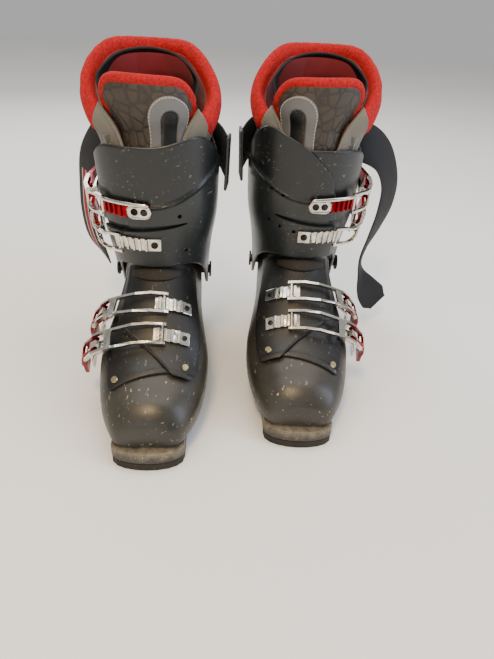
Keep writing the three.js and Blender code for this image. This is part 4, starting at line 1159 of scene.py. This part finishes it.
def stitchTree():
    # short round threads laid end to end along a line
    tree, given, out = newTree("stitches", [("Spacing", "NodeSocketFloat", 0.0035),
            ("Length", "NodeSocketFloat", 0.0024),
            ("Thread", "NodeSocketFloat", 0.0004),
            ("Finish", "NodeSocketMaterial", None)])
    g = given.outputs
    line = addNode(tree, "MeshToCurve", {"Mesh": g["Geometry"]})
    marks = addNode(tree, "ResampleCurve", {"Curve": line, "Length": g["Spacing"]}, mode="LENGTH")
    thread = addNode(tree, "MeshCylinder", {"Vertices": 6, "Radius": g["Thread"], "Depth": g["Length"]})
    ahead = addNode(tree, "InputTangent")
    turned = addNode(tree, "FunctionNodeAlignRotationToVector", {"Vector": ahead}, axis="Z")
    copies = addNode(tree, "InstanceOnPoints", {"Points": marks, "Instance": thread, "Rotation": turned})
    real = addNode(tree, "RealizeInstances", {"Geometry": copies})
    dyed = addNode(tree, "SetMaterial", {"Geometry": real, "Material": g["Finish"]})
    tree.links.new(dyed.outputs[0], out.inputs[0])
    return tree


trees = dict(studs=studTree(), stitches=stitchTree())


def growFrom(side, name, treeName, points, edges, values, body, facing=None):
    # runs a tree on a few points or a line, and keeps the result as a plain mesh
    seed = bpy.data.meshes.new("seed")
    seed.from_pydata([places[side] @ p for p in points], edges, [])
    if facing:
        attribute = seed.attributes.new("facing", "FLOAT_VECTOR", "POINT")
        turned = [(places[side].to_3x3() @ f).normalized() for f in facing]
        attribute.data.foreach_set("vector", [value for vector in turned for value in vector])
    holder = bpy.data.objects.new("holder", seed)
    bpy.context.scene.collection.objects.link(holder)
    modifier = holder.modifiers.new("grow", "NODES")
    modifier.node_group = trees[treeName]
    sockets = {item.name: item.identifier for item in trees[treeName].interface.items_tree
               if item.in_out == "INPUT"}
    for label, value in values.items():
        modifier[sockets[label]] = value
    grown = bpy.data.meshes.new_from_object(holder.evaluated_get(bpy.context.evaluated_depsgraph_get()))
    bpy.data.objects.remove(holder)
    grown.name = f"{side}_{name}"
    grown.shade_smooth()
    grown.set_sharp_from_angle(angle=math.radians(35))
    piece = bpy.data.objects.new(f"{side}_{name}", grown)
    bpy.context.scene.collection.objects.link(piece)
    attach(piece, f"{side}_{body}")
    return piece


def addStuds(side, name, spots, radius, height, recess, look, body, slotName):
    points = [point + normal * height * 0.5 for point, normal in spots]
    values = {"Radius": radius * 0.001, "Height": height * 0.001, "Recess": recess * 0.001,
            "Finish": looks[look],
              "Socket": looks["steel"]}
    piece = growFrom(side, name, "studs", points, [], values, body, [normal for point, normal in spots])


def addStitches(side, name, line, body, spacing=3.5):
    edges = [(i, i + 1) for i in range(len(line) - 1)]
    values = {"Spacing": spacing * 0.001, "Length": spacing * 0.0007, "Thread": 0.0004,
            "Finish": looks["thread"]}
    piece = growFrom(side, name, "stitches", line, edges, values, body)


def walkOver(surface, along, a):
    # the angle at a distance along the wrap from the middle of the front, negative to the outer side
    steps = 240
    length = 0
    last = surface(along, 0)
    for i in range(1, steps + 1):
        turn = -2.6 * i / steps
        point = surface(along, turn)
        gained = (point - last).length
        if length + gained >= abs(a):
            share = (abs(a) - length) / gained
            return math.copysign(2.6 * (i - 1 + share) / steps, a)
        length += gained
        last = point
    return math.copysign(2.6, a)


# surface, share along it, height of the ladder's foot over it, and distance of its end from the middle
ladderLines = dict(
    toe=(shellSurface, 0.392, flapStack, 33),
    instep=(shellSurface, 0.495, flapStack, 33),
    ankle=(cuffSurface, heightShare(mix(cuffLowZ, boot["cuffHeight"], 0.227)), 0.4, 7),
    shin=(cuffSurface, heightShare(mix(cuffLowZ, boot["cuffHeight"], 0.513)), 0.4, -1),
)


def ladderFrame(which, back):
    # a place on a ladder's foot, millimetres back from its end
    surface, along, base, end = ladderLines[which]
    point, up, across, normal = frameOn(surface, along, walkOver(surface, along, end - back))
    return point + normal * base, normal, up


def onLadder(which, back, off):
    point, normal, up = ladderFrame(which, back)
    return point + normal * off, normal


# Chromed plate round the shin ladder's two screws, and a chromed rail along the upper edge of its red teeth
trimSizes = dict(plateLong=22, plateHalf=7.2, plateEnd=6.5, plateTop=3.1, rim=0.7, railLong=55, railWide=1.5,
                 railTall=1.9, railUp=6.6, railBow=1.2, railOff=3.4)


def makeShinTrim(side):
    s = trimSizes
    halfLong = 5 + s["plateEnd"]

    def capsule(u, v, face):
        past = max(0, abs(2 * u - 1) * halfLong - 5)
        reach = math.sqrt(max(0, 1 - past ** 2 / s["plateEnd"] ** 2))
        across = (2 * v - 1) * s["plateHalf"] * max(0.05, reach)
        rim = hump(abs(2 * v - 1), 0.85, 0.12) * s["rim"]
        point, normal, up = ladderFrame("shin", s["plateLong"] * u - 1)
        return point + up * across + normal * (s["plateTop"] + rim if face else 2.45)

    def railSize(share):
        end = rimTaper(min(share, 1 - share) * s["railLong"], 3)
        return s["railWide"] * end + 0.05, s["railTall"] * end + 0.05

    path = []
    for i in range(41):
        point, normal, up = ladderFrame("shin", 1 + s["railLong"] * i / 40)
        rise = s["railUp"] + s["railBow"] * math.sin(math.pi * i / 40)
        path.append(point + up * rise + normal * s["railOff"])
    for name, made in (("shinPlate", plateOf(shares(40), shares(20), capsule)),
                       ("shinRail", tubeOf(path, railSize, 14))):
        addPiece(side, name, *made, "chrome", "cuff_group", "chrome")


# Acetal slider at the strap's sewn end: three bars across and two along
clipSizes = dict(half=24, stand=8.6, across=(-3, 7, 17), along=(4, -18), barWide=1.9, barTall=1.5)


def makeStrapClip(side):
    s = clipSizes
    height = boot["cuffHeight"] - strapSizes["below"]
    point, up, across, normal = frameOn(cuffSurface, heightShare(height), strapSizes["start"])
    middle = point + normal * s["stand"]
    bars = [(middle - across * aside - up * s["half"], middle - across * aside + up * s["half"])
            for aside in s["across"]]
    bars += [tuple(middle + across * end + up * lift for end in s["along"]) for lift in (-s["half"],
            s["half"])]
    points = []
    faces = []
    for start, end in bars:
        path = [start.lerp(end, i / 12) for i in range(13)]
        made, shape = tubeOf(path, lambda share: (s["barWide"], s["barTall"]), 12, normal)
        faces += [tuple(n + len(points) for n in face) for face in shape]
        points += made
    addPiece(side, "strapClip", points, faces, "strapClip", "cuff_group", "webbing")


# Low moulded pad over the flaps, under the cuff's front edge
padSizes = dict(start=0.6, end=0.695, halfTurn=0.44, rise=2.6, foot=0.5)


def makeThroatPad(side):
    s = padSizes

    def pad(u, v, face):
        aside = 2 * v - 1
        along = mix(s["start"] + 0.05 * aside ** 2, s["end"], u)
        rise = s["rise"] * (1 - aside ** 2) ** 0.6 * max(0, math.sin(math.pi * min(1, u * 1.05))) ** 0.5
        off = flapStack + (s["foot"] + rise if face else 0.2)
        return offSurface(shellSurface, along, s["halfTurn"] * aside, off)

    addPiece(side, "throatPad", *plateOf(shares(40), shares(50), pad), "sole", "lower", "flap")


smallSizes = dict(rivets=((0.272, -0.66, 2.9), (0.305, 0.6, 5.8)), ladderTop=2.4, screw=3.4, screwTall=1.0,
                  hexagon=1.7)
for side in sides:
    makeShinTrim(side)
    makeStrapClip(side)
    makeThroatPad(side)
    makeLiner(side)
    makeLinerFoot(side)
    archStitch = makeTongue(side)
    makePullLoop(side)
    makeStrap(side)
    addStitches(side, "archStitches", archStitch, "cuff_group", 3)
    for edge, share in (("Outer", 0.012), ("Inner", 0.988)):
        line = [onShaft(share, mix(0.4, 0.9, i / 60), 0.15) for i in range(61)]
        addStitches(side, "panelStitches" + edge, line, "cuff_group")
    rivets = []
    for along, turn, lift in smallSizes["rivets"]:
        point, up, across, normal = frameOn(shellSurface, along, turn)
        rivets.append((point + normal * lift, normal))
    addStuds(side, "flapRivets", rivets, 3.6, 1.4, 0, "brass", "lower", "chrome")
    top = smallSizes["ladderTop"]
    screw = (smallSizes["screw"], smallSizes["screwTall"], smallSizes["hexagon"], "steel", "cuff_group",
            "chrome")
    addStuds(side, "shinScrews", [onLadder("shin", back, trimSizes["plateTop"]) for back in (5.5, 14)],
            *screw)
    addStuds(side, "ankleScrew", [onLadder("ankle", 6, top)], *screw)
    # painted shade: thin dark steel discs with a dark hexagon, laid on the toe and instep ladders, stand for
    # their holes
    addStuds(side, "lowerLadderHoleShades", [onLadder(which, 4.5, top) for which in ("toe", "instep")], 2.7, 0.3,
            2.6,
             "steel", "lower", "chrome")
print("liners, straps and small parts made")

# Finishes of the frame's own nodes
for name, node in frame["nodes"].items():
    if node.hide_render:
        continue
    kind = name.split("_", 1)[1]
    look = ("red" if kind.endswith("lever") or kind == "shin_ladder" else
            "sole" if kind.endswith("sole") else
            "board" if kind == "boot_board" else
            "linerSide" if kind.startswith("liner") else
            "webbing" if kind in ("pull_loop", "power_strap") else
            "steel" if kind.startswith("cuff_pivot") else
            "chrome")
    node.data.materials.clear()
    node.data.materials.append(looks[look])
    if look in ("red", "chrome", "sole"):
        # welds the loose triangles and rounds the edges, which catches the light as cast metal does
        weld = node.modifiers.new("weld", "WELD")
        weld.merge_threshold = 1e-6
        bevel = node.modifiers.new("bevel", "BEVEL")
        bevel.width = 0.0005
        bevel.segments = 2
        bevel.limit_method = "ANGLE"
        bevel.angle_limit = math.radians(28)
print("frame nodes finished")
